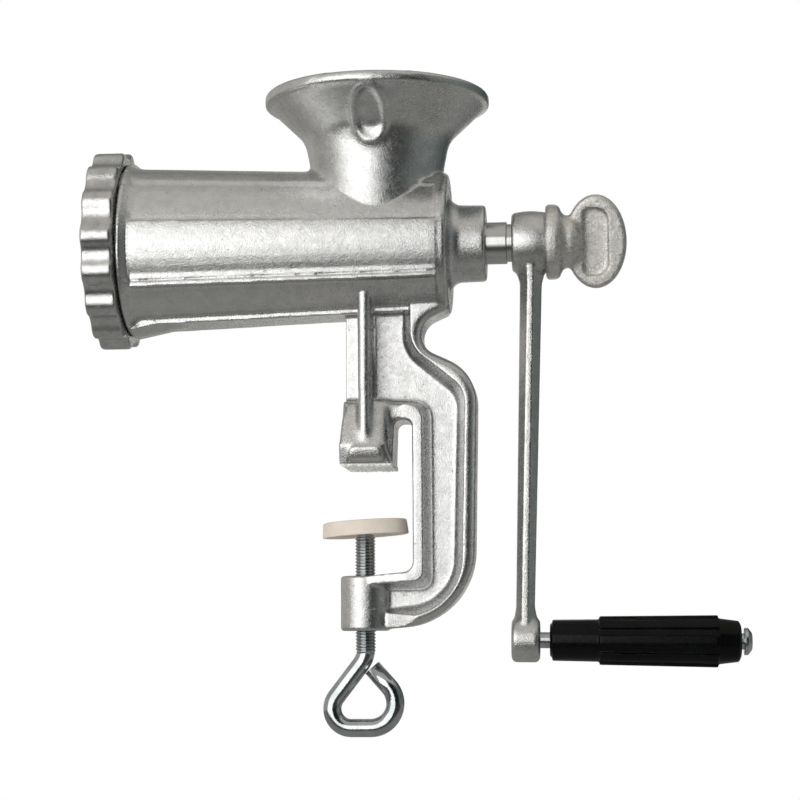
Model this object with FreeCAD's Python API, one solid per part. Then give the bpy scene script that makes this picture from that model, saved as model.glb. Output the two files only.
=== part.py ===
"""Hand crank meat grinder that clamps to a table edge.

Millimetres, +Z up. The origin is on the clamp screw's axis, in the face of the upper jaw that rests
on the table. +X runs along the barrel from the ring nut to the crank, and +Y across it.
"""
import FreeCAD
import Part
import math
import os

V = FreeCAD.Vector

# Barrel, seen along its own axis from the rear face to the mouth
AXIS_Z = 106.5
REAR_FACE_X = 41.0
BARREL_LENGTH = 162.0
BARREL_FRONT_RADIUS = 38.0
BARREL_REAR_RADIUS = 32.6
BARREL_WALL = 5.0
REAR_WALL = 6.0
REAR_RIM_RADIUS = 33.8
REAR_RIM_WIDTH = 4.5
REAR_RIM_ROUND = 4.2
COLLAR_RADIUS = 41.8
COLLAR_WIDTH = 1.6
COLLAR_SLOPE = 4.0
COLLAR_ROUND = 5.0
NOSE_RADIUS = 40.4
NOSE_LENGTH = 9.6
REAR_BOSS_RADIUS = 18.5
REAR_BOSS_LENGTH = 17.2
REAR_BOSS_ROUND = 6.0

# Raised bands along the barrel: angles are measured up from the side, on both sides alike
SIDE_BAND_RISE = 1.5
TOP_BAND_RISE = 1.0
TOP_BAND_FROM = 47.0
SIDE_BAND_TOP = 11.0
SIDE_BAND_BOTTOM = -31.0
LEDGE_TOP = -26.0
LEDGE_BOTTOM_SHARE = 0.61
LEDGE_GROOVE = 0.8
BELLY_HALF_SHARE = 0.37
BELLY_RISE = 0.1
DRIP_RAMP_LENGTH = 27.0
DRIP_RAMP_RISE = 4.5
DRIP_RAMP_HALF = 20.0

# Hopper
HOPPER_X = 6.6
HOPPER_NECK_RADIUS = 31.0
HOPPER_BEND_RADIUS = 34.5
HOPPER_BEND_Z = 157.0
HOPPER_FLARE_Z = 172.8
HOPPER_RIM_RADIUS = 53.5
HOPPER_RIM_LIP = 2.5
HOPPER_RIM_HEIGHT = 5.8
HOPPER_BEND_ROUND = 16.0
HOPPER_FLARE_ROUND = 5.0
HOPPER_WALL = 4.0
OVAL_HALF_WIDTH = 9.0
OVAL_HALF_HEIGHT = 12.5
OVAL_LINE = 3.0
OVAL_RISE = 1.2
OVAL_Z = 161.0

# Clamp frame: an I-section arm from the barrel round to the screw boss
FRAME_WIDTH = 28.0
WEB_THICKNESS = 7.0
FLANGE_CREST = 5.3
FLANGE_ROOT = 9.2
INNER_FLANGE_CREST = 5.0
INNER_FLANGE_ROOT = 8.0
NECK_X = 28.2
NECK_POCKET_DROP = 5.5
SHOULDER_POCKET_DROP = 8.3
HEEL_POCKET_RISE = 5.0
LOWER_POCKET_SLOPE = 0.1
POCKET_BOTTOM_Z = 29.0
BOSS_BLEND = 20.0
LOWER_FLANGE_BLEND = 25.0
LOWER_FLANGE_HALF = 6.5
FRAME_EDGE_ROUND = 4.5
FRAME_INNER_ROUND = 1.2
LEG_LEFT_X = -8.5
NECK_NOTCH_X = 14.5
NECK_NOTCH_Z = 62.0
NECK_NOTCH_ROUND = 9.5
SHOULDER_Z = 44.0
SHOULDER_ROUND = 22.0
ARM_OUTER_X = 53.6
ARM_INNER_X = 23.3
ARM_TAPER = 2.6
HEEL_Z = -71.5
HEEL_ROUND = 36.0
CLAMP_DEPTH = 48.2
LOWER_ARM_FALL = 2.2
SLOT_WIDTH = 8.4
SLOT_HEIGHT = 22.0
SLOT_ROUND = 3.4

# Seams that divide the casting into a barrel, a hopper, an upper jaw and a clamp arm
HOPPER_SEAM_RISE = 1.5
JAW_SEAM_DROP = 0.4
JAW_SEAM_MARGIN = 5.0

# Upper jaw, its foot and the upright rib above it
JAW_WIDTH = 45.0
JAW_LEFT_X = -10.0
JAW_TOP_Z = 32.0
JAW_SIDE_STEP = 3.4
FOOT_HEIGHT = 10.0
TOE_WIDTH = 15.6
TOE_HEIGHT = 6.0
TOE_REACH = 1.6
RIB_X = 1.8
RIB_THICKNESS = 6.0
RIB_ROUND = 2.9
RIB_WIDTH = 46.0
RIB_TOP_Z = 82.0

# Clamp screw, boss, pad and pad washer
BOSS_RADIUS = 11.6
BOSS_TOP_Z = -50.0
BOSS_BOTTOM_Z = -75.6
SCREW_RADIUS = 4.7
SCREW_PITCH = 1.5
THREAD_DEPTH = 0.7
THREAD_BOTTOM_Z = -86.0
THREAD_CLEARANCE = 0.35
LOOP_ROD_RADIUS = 4.25
LOOP_BEND_Z = -88.0
LOOP_BEND_ROUND = 18.0
LOOP_LEFT_X = -25.0
LOOP_LEFT_ROUND = 8.9
LOOP_RIGHT_X = 27.6
LOOP_RIGHT_ROUND = 11.4
LOOP_BOTTOM_Z = -120.4
LOOP_END_X = 3.0
LOOP_END_Z = -92.6
PAD_TOP_Z = -24.4
PAD_HEIGHT = 7.0
PAD_RADIUS = 20.3
PAD_DRAFT = 0.7
PAD_TILT = 3.3
PAD_SKIN = 3.0
PAD_HUB_RADIUS = 8.0
PAD_RIM = 2.2
PAD_PLAY = 0.45
TIP_RADIUS = 3.0
TIP_CLEARANCE = 0.4
TIP_HEAD_RADIUS = 4.2
TIP_HEAD_HEIGHT = 0.8
WASHER_RADIUS = 6.4
WASHER_THICKNESS = 1.0
WASHER_RECESS = 2.8

# Ring nut
RING_RADIUS = 47.5
RING_WIDTH = 14.7
RING_LOBES = 16
RING_LOBE_DEPTH = 3.0
RING_LIP = 3.9
RING_MOUTH_RADIUS = 31.5
RING_FRONT_ROUND = 1.2
RING_BACK_ROUND = 0.8
RING_CLEARANCE = 0.4

# Grinding plate, knife and their stud
PLATE_RADIUS = 35.0
PLATE_THICKNESS = 5.0
PLATE_PROUD = 2.0
PLATE_CLEARANCE = 0.3
PLATE_HOLE_RADIUS = 3.0
PLATE_HOLE_GAP = 2.2
PLATE_EDGE = 4.5
PLATE_CENTRE_LAND = 3.0
MOUTH_DEPTH = 9.0
KEY_RADIUS = 1.5
KEY_INSET = 2.3
KEY_REACH = 2.6
KEY_CLEARANCE = 0.3
KNIFE_THICKNESS = 8.0
KNIFE_RADIUS = 31.0
KNIFE_HUB_RADIUS = 11.5
KNIFE_WINGS = 4
KNIFE_WING_WIDTH = 10.0
KNIFE_WING_THICKNESS = 5.5
STUD_SQUARE = 11.0
STUD_PILOT_RADIUS = 5.0
STUD_SHANK_LENGTH = 22.0
RUNNING_CLEARANCE = 0.08

# Feed screw and thrust washer
CORE_FRONT_RADIUS = 13.0
CORE_REAR_RADIUS = 15.5
FLIGHT_PITCH = 42.0
FLIGHT_THICKNESS = 6.5
FLIGHT_CLEARANCE = 0.8
FLIGHT_END_GAP = 3.0
SHAFT_RADIUS = 10.0
SHAFT_SHOWN = 12.1
GROOVE_RADIUS = 9.0
GROOVE_WIDTH = 2.2
SHAFT_SQUARE = 12.4
THRUST_WASHER_RADIUS = 21.0
THRUST_WASHER_THICKNESS = 2.0

# Crank arm
CRANK_THROW = 186.7
HUB_RADIUS = 15.2
HUB_LENGTH = 17.5
HUB_CROWN = 1.2
HUB_ROUND = 2.0
SQUARE_CLEARANCE = 0.1
ARM_TOP_WIDTH = 10.2
ARM_TOP_DEPTH = 17.0
ARM_FOOT_WIDTH = 8.6
ARM_FOOT_DEPTH = 13.0
ARM_RIDGE = 3.0
ARM_SIDE = 5.0
LOWER_HUB_RADIUS = 10.3
LOWER_HUB_LENGTH = 13.2
LOWER_HUB_ROUND = 2.5
LOWER_HUB_INSET = 4.4
GRIP_DROOP = 0.7

# Thumb screw
THUMB_FLANGE_RADIUS = 18.0
THUMB_FLANGE_THICKNESS = 5.0
THUMB_CUP_DEPTH = 1.6
THUMB_CUP_CLEARANCE = 0.6
THUMB_NECK_RADIUS = 12.3
THUMB_NECK_LENGTH = 4.0
WING_HALF_HEIGHT = 22.0
WING_HALF_LENGTH = 14.5
WING_THICKNESS = 10.0
WING_RIM_TOP = 6.0
WING_RIM_END = 8.4
WING_RECESS = 2.2
WING_TURN = 14.0
THUMB_STUD_RADIUS = 5.0
THUMB_STUD_LENGTH = 19.0
THUMB_CLEARANCE = 0.35

# Grip and its pin
PIN_RADIUS = 3.75
PIN_SHOWN = 4.5
PIN_END_PLAY = 1.2
PIN_HEAD_RADIUS = 6.3
PIN_HEAD_HEIGHT = 3.8
GRIP_LENGTH = 87.6
GRIP_SLEEVE_LENGTH = 22.7
GRIP_SLEEVE_RADIUS = 9.5
GRIP_BODY_RADIUS = 10.6
GRIP_TAPER_LENGTH = 10.5
GRIP_END_RADIUS = 9.4
GRIP_RIB_RISE = 1.4
GRIP_RIBS = 8
GRIP_RIB_HALF_ANGLE = 13.0
GRIP_LIP = 1.0

# Places that follow from the sizes above
HOPPER_FLARE_RADIUS = HOPPER_RIM_RADIUS - HOPPER_RIM_LIP
NOSE_X = REAR_FACE_X - BARREL_LENGTH
COLLAR_X = NOSE_X + NOSE_LENGTH
BARREL_START_X = COLLAR_X + COLLAR_WIDTH + COLLAR_SLOPE
BARREL_END_X = REAR_FACE_X - REAR_RIM_WIDTH
BORE_END_X = REAR_FACE_X - REAR_WALL
BOSS_END_X = REAR_FACE_X + REAR_BOSS_LENGTH
PLATE_FRONT_X = NOSE_X - PLATE_PROUD
PLATE_BACK_X = PLATE_FRONT_X + PLATE_THICKNESS
RING_FRONT_X = PLATE_FRONT_X - RING_LIP
WORM_FRONT_X = PLATE_BACK_X + KNIFE_THICKNESS
WORM_BACK_X = BORE_END_X - THRUST_WASHER_THICKNESS
HUB_START_X = BOSS_END_X + SHAFT_SHOWN
HUB_END_X = HUB_START_X + HUB_LENGTH
HUB_MID_X = HUB_START_X + HUB_LENGTH / 2
SHAFT_END_X = HUB_END_X - 1.0
WING_MID_X = HUB_END_X + THUMB_FLANGE_THICKNESS + THUMB_NECK_LENGTH + WING_HALF_LENGTH - 1.5
GRIP_AXIS_Z = AXIS_Z - CRANK_THROW
LOWER_HUB_MID_X = HUB_MID_X - LOWER_HUB_INSET
LOWER_HUB_START_X = LOWER_HUB_MID_X - LOWER_HUB_LENGTH / 2
LOWER_HUB_END_X = LOWER_HUB_MID_X + LOWER_HUB_LENGTH / 2
GRIP_START_X = LOWER_HUB_END_X + PIN_SHOWN
GRIP_END_X = GRIP_START_X + GRIP_LENGTH
FRAME_HALF = FRAME_WIDTH / 2
JAW_HALF = JAW_WIDTH / 2
CLAMP_FLOOR_Z = -CLAMP_DEPTH
HOPPER_SEAM_Z = AXIS_Z + BARREL_FRONT_RADIUS + TOP_BAND_RISE + HOPPER_SEAM_RISE
JAW_SEAM_Z = SLOT_HEIGHT - SLOT_ROUND - JAW_SEAM_DROP
SEAM_REACH = 1.25 * BARREL_LENGTH
SLOT_MIDDLE_X = ARM_INNER_X - SLOT_WIDTH / 2
PAD_PIVOT_Z = PAD_TOP_Z - WASHER_RECESS


def barrel_radius(x):
    """Outer radius of the tapering barrel at x."""
    share = (x - BARREL_START_X) / (BARREL_END_X - BARREL_START_X)
    return BARREL_FRONT_RADIUS + share * (BARREL_REAR_RADIUS - BARREL_FRONT_RADIUS)


def bore_radius(x):
    """Inner radius of the barrel at x."""
    return barrel_radius(x) - BARREL_WALL


def rounded_wire(corners, place):
    """Closed wire through corners (u, v) or (u, v, radius), with a tangent arc at each rounded corner."""
    count = len(corners)
    points = [V(c[0], c[1], 0) for c in corners]
    radii = [c[2] if len(c) > 2 else 0.0 for c in corners]
    ends = []
    edges = []
    for i in range(count):
        here = points[i]
        to_last = points[i - 1] - here
        to_next = points[(i + 1) % count] - here
        half = to_last.getAngle(to_next) / 2
        tangent = 0.0
        if radii[i] > 0:
            room_last = to_last.Length * (0.98 if radii[i - 1] == 0 else 0.5)
            room_next = to_next.Length * (0.98 if radii[(i + 1) % count] == 0 else 0.5)
            tangent = min(radii[i] / math.tan(half), room_last, room_next)
        to_last.normalize()
        to_next.normalize()
        start = here + to_last * tangent
        end = here + to_next * tangent
        ends.append((start, end))
        if tangent > 0:
            radius = tangent * math.tan(half)
            bisector = to_last + to_next
            bisector.normalize()
            middle = here + bisector * (radius / math.sin(half) - radius)
            arc = [place(p.x, p.y) for p in (start, middle, end)]
            edges.append(Part.Arc(*arc).toShape())
    for i in range(count):
        a = ends[i][1]
        b = ends[(i + 1) % count][0]
        if (b - a).Length > 1e-6:
            edges.append(Part.LineSegment(place(a.x, a.y), place(b.x, b.y)).toShape())
    return Part.Wire(Part.__sortEdges__(edges))


def lathe_x(corners, axis_z=AXIS_Z):
    """Solid of revolution about a line along X at axis_z, from corners (x, radius[, round])."""
    wire = rounded_wire(corners, lambda x, r: V(x, 0, axis_z + r))
    return Part.Face(wire).revolve(V(0, 0, axis_z), V(1, 0, 0), 360)


def lathe_z(corners, axis_x=0.0):
    """Solid of revolution about a vertical line at axis_x, from corners (radius, z[, round])."""
    wire = rounded_wire(corners, lambda r, z: V(axis_x + r, 0, z))
    return Part.Face(wire).revolve(V(axis_x, 0, 0), V(0, 0, 1), 360)


def rod_x(start, end, radius, axis_z=AXIS_Z):
    """Cylinder along X."""
    return Part.makeCylinder(radius, end - start, V(start, 0, axis_z), V(1, 0, 0))


def square_rod_x(start, end, across, axis_z=AXIS_Z):
    """Square bar along X, measured across its flats."""
    corner = V(start, -across / 2, axis_z - across / 2)
    return Part.makeBox(end - start, across, across, corner)


def slab_xz(corners, width):
    """Prism of an outline in the XZ plane, centred on Y = 0."""
    wire = rounded_wire(corners, lambda x, z: V(x, -width / 2, z))
    return Part.Face(wire).extrude(V(0, width, 0))


def slab_yz(corners, start, end):
    """Prism of an outline in the YZ plane from x = start to x = end."""
    wire = rounded_wire(corners, lambda y, z: V(start, y, z))
    return Part.Face(wire).extrude(V(end - start, 0, 0))


def sector_x(start, end, low, high, reach, axis_z=AXIS_Z):
    """Wedge along X between two angles, measured up from the -Y side about the line at axis_z."""
    steps = [low, (2 * low + high) / 3, (low + 2 * high) / 3, high]
    points = [V(start, 0, axis_z)]
    for angle in steps:
        turn = math.radians(angle)
        points.append(V(start, -reach * math.cos(turn), axis_z + reach * math.sin(turn)))
    points.append(points[0])
    return Part.Face(Part.makePolygon(points)).extrude(V(end - start, 0, 0))


def droop(shape):
    """Tilt a shape built along the grip's axis about the middle of the crank's lower hub."""
    shape.rotate(V(LOWER_HUB_MID_X, 0, GRIP_AXIS_Z), V(0, 1, 0), GRIP_DROOP)
    return shape


def mirrored(low, high):
    """The same range of angles on both sides of the barrel."""
    return [(low, high), (180 - high, 180 - low)]


def barrel_outside():
    """Barrel with its threaded nose, collar, rear rim and rear boss."""
    return lathe_x([
        (NOSE_X, 0),
        (NOSE_X, NOSE_RADIUS, 1.0),
        (COLLAR_X, NOSE_RADIUS),
        (COLLAR_X, COLLAR_RADIUS, 0.6),
        (COLLAR_X + COLLAR_WIDTH, COLLAR_RADIUS, 1.2),
        (BARREL_START_X, BARREL_FRONT_RADIUS, COLLAR_ROUND),
        (BARREL_END_X - 1.0, barrel_radius(BARREL_END_X - 1.0), 1.5),
        (BARREL_END_X, REAR_RIM_RADIUS, 0.8),
        (REAR_FACE_X, REAR_RIM_RADIUS, REAR_RIM_ROUND),
        (REAR_FACE_X, REAR_BOSS_RADIUS, REAR_BOSS_ROUND),
        (BOSS_END_X, REAR_BOSS_RADIUS - 0.4, 1.5),
        (BOSS_END_X, 0),
    ])


def barrel_band(low, high, rise):
    """Raised band along the barrel between two angles."""
    skin = lathe_x([
        (BARREL_START_X, 0),
        (BARREL_START_X, barrel_radius(BARREL_START_X) + rise),
        (BARREL_END_X, barrel_radius(BARREL_END_X) + rise),
        (BARREL_END_X, 0),
    ])
    return skin.common(sector_x(BARREL_START_X, BARREL_END_X, low, high, 2 * BARREL_FRONT_RADIUS))


def barrel_strip(section):
    """Straight strip along the barrel, from the corners (y, z) that section gives for a radius."""
    wires = []
    for x in (BARREL_START_X, BARREL_END_X):
        points = [V(x, y, AXIS_Z + z) for y, z in section(barrel_radius(x))]
        wires.append(Part.makePolygon(points + points[:1]))
    return Part.makeLoft(wires, True, True)


def ledge_section(radius):
    """Upright ledge under the side band, with a shallow groove along its middle."""
    turn = math.radians(LEDGE_TOP)
    face = -(radius + SIDE_BAND_RISE) * math.cos(turn)
    top = (radius + SIDE_BAND_RISE) * math.sin(turn)
    bottom = -LEDGE_BOTTOM_SHARE * radius
    middle = (top + bottom) / 2
    return [
        (face, top),
        (face, middle + LEDGE_GROOVE),
        (face + LEDGE_GROOVE, middle),
        (face, middle - LEDGE_GROOVE),
        (face, bottom),
        (-0.75 * radius, bottom),
        (-0.86 * radius, 0.8 * top),
    ]


def belly_section(radius):
    """Flat rib under the belly, with upright sides."""
    half = BELLY_HALF_SHARE * radius
    bottom = -radius - BELLY_RISE
    return [(-half, bottom), (half, bottom), (half, -0.9 * radius), (-half, -0.9 * radius)]


def barrel_bands():
    """All that stands out from the barrel: bands over the top and sides, side ledges and the belly rib."""
    bands = [barrel_band(TOP_BAND_FROM, 180 - TOP_BAND_FROM, TOP_BAND_RISE)]
    for low, high in mirrored(SIDE_BAND_BOTTOM, SIDE_BAND_TOP):
        bands.append(barrel_band(low, high, SIDE_BAND_RISE))
    ledge = barrel_strip(ledge_section)
    bands += [ledge, ledge.mirror(V(0, 0, 0), V(0, 1, 0)), barrel_strip(belly_section)]
    return bands


def drip_ramp():
    """Thicker end of the belly band behind the collar."""
    start = COLLAR_X + COLLAR_WIDTH
    end = start + DRIP_RAMP_LENGTH
    wedge = lathe_x([
        (start, 0),
        (start, barrel_radius(start) + DRIP_RAMP_RISE),
        (end, barrel_radius(end)),
        (end, 0),
    ])
    low = -90 - DRIP_RAMP_HALF
    high = -90 + DRIP_RAMP_HALF
    return wedge.common(sector_x(start, end, low, high, 2 * BARREL_FRONT_RADIUS))


def hopper_profile(inset, bottom, top_extra):
    """Corners of the hopper's outline, moved in by a wall thickness for its inside."""
    rim_top = HOPPER_FLARE_Z + HOPPER_RIM_HEIGHT
    corners = [
        (0, bottom),
        (HOPPER_NECK_RADIUS - inset, bottom),
        (HOPPER_NECK_RADIUS - inset, AXIS_Z + BARREL_REAR_RADIUS),
        (HOPPER_BEND_RADIUS - inset, HOPPER_BEND_Z, HOPPER_BEND_ROUND),
    ]
    if inset > 0:
        rise = rim_top + top_extra - HOPPER_FLARE_Z
        corners += [
            (HOPPER_FLARE_RADIUS - inset, HOPPER_FLARE_Z + 1.0, HOPPER_FLARE_ROUND),
            (HOPPER_RIM_RADIUS - inset, HOPPER_FLARE_Z + rise),
        ]
    else:
        corners += [
            (HOPPER_FLARE_RADIUS, HOPPER_FLARE_Z, 1.5),
            (HOPPER_RIM_RADIUS, HOPPER_FLARE_Z + 0.8, 0.8),
            (HOPPER_RIM_RADIUS, rim_top, 2.0),
        ]
    corners.append((0, corners[-1][1]))
    return corners


def hopper_outside():
    return lathe_z(hopper_profile(0.0, AXIS_Z, 0.0), HOPPER_X)


def hopper_inside():
    return lathe_z(hopper_profile(HOPPER_WALL, AXIS_Z, 1.0), HOPPER_X)


def hopper_oval():
    """Plain raised oval on the front of the hopper."""
    rings = []
    for grow in (0.0, -OVAL_LINE):
        ellipse = Part.Ellipse(V(0, 0, 0), OVAL_HALF_HEIGHT + grow, OVAL_HALF_WIDTH + grow)
        wire = Part.Wire(ellipse.toShape())
        wire.rotate(V(0, 0, 0), V(0, 0, 1), 90)
        wire.rotate(V(0, 0, 0), V(1, 0, 0), 90)
        wire.translate(V(HOPPER_X, -HOPPER_RIM_RADIUS, OVAL_Z))
        rings.append(Part.Face(wire).extrude(V(0, HOPPER_RIM_RADIUS, 0)))
    corners = [
        (0, AXIS_Z),
        (HOPPER_NECK_RADIUS + OVAL_RISE, AXIS_Z),
        (HOPPER_NECK_RADIUS + OVAL_RISE, AXIS_Z + BARREL_REAR_RADIUS),
        (HOPPER_BEND_RADIUS + OVAL_RISE, HOPPER_BEND_Z - OVAL_RISE, HOPPER_BEND_ROUND),
        (HOPPER_FLARE_RADIUS + OVAL_RISE, HOPPER_FLARE_Z - OVAL_RISE),
        (HOPPER_FLARE_RADIUS + OVAL_RISE, HOPPER_FLARE_Z),
        (0, HOPPER_FLARE_Z),
    ]
    return lathe_z(corners, HOPPER_X).common(rings[0].cut(rings[1]))


def frame_outline():
    """Outer outline of the clamp frame, clockwise from its top inside the barrel."""
    slot_left = ARM_INNER_X - SLOT_WIDTH
    return [
        (LEG_LEFT_X, AXIS_Z),
        (REAR_FACE_X - REAR_RIM_WIDTH, AXIS_Z),
        (REAR_FACE_X - 1.0, AXIS_Z - REAR_RIM_RADIUS + 1.0),
        (NECK_NOTCH_X, NECK_NOTCH_Z, NECK_NOTCH_ROUND),
        (ARM_OUTER_X, SHOULDER_Z, SHOULDER_ROUND),
        (ARM_OUTER_X - ARM_TAPER, HEEL_Z, HEEL_ROUND),
        (0, BOSS_BOTTOM_Z),
        (0, CLAMP_FLOOR_Z - LOWER_ARM_FALL),
        (ARM_INNER_X, CLAMP_FLOOR_Z, 5.0),
        (ARM_INNER_X, SLOT_HEIGHT, SLOT_ROUND),
        (slot_left, SLOT_HEIGHT, SLOT_ROUND),
        (slot_left - 0.8, 0),
        (JAW_LEFT_X, 0, 2.0),
        (JAW_LEFT_X, FOOT_HEIGHT, 6.0),
        (LEG_LEFT_X, JAW_TOP_Z, 12.0),
    ]


def pocket_wire(outer, inner, y):
    """Outline of the hollow beside the web, at given distances from the frame's outer and inner edges."""
    more = outer - FLANGE_CREST
    right = ARM_OUTER_X - outer
    left = ARM_INNER_X + inner
    neck = NECK_X - outer
    end = -2 * BOSS_RADIUS
    heel = HEEL_Z + HEEL_POCKET_RISE + more
    roof = CLAMP_FLOOR_Z - LOWER_ARM_FALL - inner + 2.4
    open_side = LEG_LEFT_X - FRAME_WIDTH
    corners = [
        (open_side, AXIS_Z),
        (neck, AXIS_Z),
        (neck, NECK_NOTCH_Z - NECK_POCKET_DROP - more / 2, NECK_NOTCH_ROUND + 6.0),
        (right, SHOULDER_Z - SHOULDER_POCKET_DROP - more / 2, SHOULDER_ROUND - 9.0),
        (right - ARM_TAPER, heel, HEEL_ROUND - outer - 4.0),
        (end, heel - LOWER_POCKET_SLOPE * (right - ARM_TAPER - end)),
        (end, roof - 1.0),
        (left, roof, 5.0),
        (left, POCKET_BOTTOM_Z + more / 2, 7.5),
        (open_side, POCKET_BOTTOM_Z + more / 2 + 2.5),
    ]
    return rounded_wire(corners, lambda x, z: V(x, y, z))


def frame_pocket():
    """Hollow on one side of the web, with sloping walls from the flanges' crests down to the web."""
    floor = pocket_wire(FLANGE_ROOT, INNER_FLANGE_ROOT, -WEB_THICKNESS / 2)
    mouth = pocket_wire(FLANGE_CREST, INNER_FLANGE_CREST, -FRAME_HALF)
    beyond = pocket_wire(FLANGE_CREST, INNER_FLANGE_CREST, -FRAME_HALF - 5.0)
    return Part.makeLoft([floor, mouth, beyond], True, True)


def boss_relief(side, start, half, reach, height):
    """What is cut from one side of the lower arm, from the given reach to a narrower flange at the boss."""
    beyond = FRAME_HALF + 1.0
    corners = [
        (-reach, side * beyond),
        (reach, side * beyond),
        (reach, side * FRAME_HALF),
        (start, side * half),
        (-reach, side * half),
    ]
    wire = rounded_wire(corners, lambda x, y: V(x, y, BOSS_BOTTOM_Z - 10.0))
    return Part.Face(wire).extrude(V(0, 0, height + 10.0))


def boss_reliefs():
    """Cuts that narrow the lower arm's flanges to the boss, the lower flange more than the upper one."""
    reliefs = []
    for side in (-1, 1):
        reliefs.append(boss_relief(side, 0, BOSS_RADIUS - 0.4, BOSS_BLEND, CLAMP_DEPTH))
        lower = (BOSS_TOP_Z - BOSS_BOTTOM_Z) / 2
        reliefs.append(boss_relief(side, BOSS_RADIUS - 2.6, LOWER_FLANGE_HALF, LOWER_FLANGE_BLEND, lower))
    return reliefs


def rounded_rim(body, radius, inner):
    """The frame's slab with the edges of its two faces rounded, along its inner or its outer side."""
    rim = []
    for edge in body.Edges:
        box = edge.BoundBox
        flat = abs(abs(box.YMin) - FRAME_HALF) < 1e-6 and box.YLength < 1e-6
        open_edge = box.XMin > ARM_INNER_X - SLOT_WIDTH + 0.1 and box.ZMax < AXIS_Z - 1.0
        if flat and open_edge and (box.XMax < ARM_INNER_X + 0.1) == inner:
            rim.append(edge)
    return body.makeFillet(radius, rim)


def clamp_frame():
    """I-section frame: the full outline with rounded edges, hollowed to its web from both sides."""
    body = slab_xz(frame_outline(), FRAME_WIDTH)
    body = rounded_rim(body, FRAME_EDGE_ROUND, False)
    body = rounded_rim(body, FRAME_INNER_ROUND, True)
    near = frame_pocket()
    far = near.mirror(V(0, 0, 0), V(0, 1, 0))
    return body.cut([near, far] + boss_reliefs())


def upper_jaw():
    """Jaw that widens to a foot on both sides of the frame, with a rounded toe on each end of the foot."""
    slot_left = ARM_INNER_X - SLOT_WIDTH
    across = slab_yz([
        (-JAW_HALF, 0),
        (JAW_HALF, 0),
        (JAW_HALF, FOOT_HEIGHT, 2.0),
        (FRAME_HALF, JAW_TOP_Z, 3.0),
        (-FRAME_HALF, JAW_TOP_Z, 3.0),
        (-JAW_HALF, FOOT_HEIGHT, 2.0),
    ], JAW_LEFT_X - 1.0, slot_left + 1.0)
    right = slot_left - JAW_SIDE_STEP
    along = slab_xz([
        (JAW_LEFT_X, 0, 2.0),
        (slot_left - 0.8, 0),
        (slot_left - 0.8, 0.2 * FOOT_HEIGHT),
        (right, FOOT_HEIGHT, 8.0),
        (right, JAW_TOP_Z),
        (LEG_LEFT_X, JAW_TOP_Z, 12.0),
        (JAW_LEFT_X, FOOT_HEIGHT, 6.0),
    ], 2 * JAW_WIDTH)
    middle = (JAW_LEFT_X + slot_left) / 2
    low = FOOT_HEIGHT - TOE_HEIGHT - 1.0
    toe = slab_xz([
        (middle - TOE_WIDTH / 2, low, 1.0),
        (middle + TOE_WIDTH / 2, low, 1.0),
        (middle + TOE_WIDTH / 2, low + TOE_HEIGHT, 3.0),
        (middle - TOE_WIDTH / 2, low + TOE_HEIGHT, 3.0),
    ], JAW_WIDTH + 2 * TOE_REACH)
    return across.common(along).fuse(toe)


def upright_rib():
    """Cross rib from the barrel's belly down to the foot."""
    half = RIB_WIDTH / 2
    rib = slab_yz([
        (-half, RIB_TOP_Z),
        (half, RIB_TOP_Z),
        (half - 0.8, FOOT_HEIGHT - 1.0),
        (0.8 - half, FOOT_HEIGHT - 1.0),
    ], RIB_X - RIB_THICKNESS / 2, RIB_X + RIB_THICKNESS / 2)
    upright = [e for e in rib.Edges if e.BoundBox.ZLength > RIB_THICKNESS]
    return rib.makeFillet(RIB_ROUND, upright)


def screw_boss():
    """Upright boss at the end of the lower arm."""
    return lathe_z([
        (0, BOSS_BOTTOM_Z),
        (BOSS_RADIUS, BOSS_BOTTOM_Z, 1.5),
        (BOSS_RADIUS, BOSS_TOP_Z, 1.5),
        (0, BOSS_TOP_Z),
    ])


def bore_inside():
    """Tapering bore, the wider mouth for the plate, and the hole for the shaft."""
    mouth_end = NOSE_X + MOUTH_DEPTH
    mouth = PLATE_RADIUS + PLATE_CLEARANCE
    shaft = SHAFT_RADIUS + RUNNING_CLEARANCE
    return lathe_x([
        (NOSE_X - 1.0, 0),
        (NOSE_X - 1.0, mouth),
        (mouth_end, mouth),
        (mouth_end + 2.0, bore_radius(mouth_end + 2.0)),
        (BORE_END_X, bore_radius(BORE_END_X), 3.0),
        (BORE_END_X, shaft),
        (BOSS_END_X + 1.0, shaft),
        (BOSS_END_X + 1.0, 0),
    ])


def key_hole(clearance):
    """Radial cylinder at the top of the mouth for the key pin."""
    middle = NOSE_X + KEY_INSET
    start = PLATE_RADIUS - KEY_REACH
    length = NOSE_RADIUS - start
    return Part.makeCylinder(KEY_RADIUS + clearance, length, V(middle, 0, AXIS_Z + start), V(0, 0, 1))


def casting():
    """Barrel, hopper and clamp in one casting."""
    solids = barrel_bands() + [drip_ramp(), hopper_outside(), hopper_oval(), clamp_frame()]
    solids += [upper_jaw(), upright_rib(), screw_boss()]
    body = barrel_outside().multiFuse(solids).removeSplitter()
    screw = SCREW_RADIUS + THREAD_CLEARANCE
    screw_hole = Part.makeCylinder(screw, 40, V(0, 0, BOSS_BOTTOM_Z - 5), V(0, 0, 1))
    key = key_hole(0.0)
    key.translate(V(0, 0, 1.0))
    return body.cut([bore_inside(), hopper_inside(), screw_hole, key])


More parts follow.
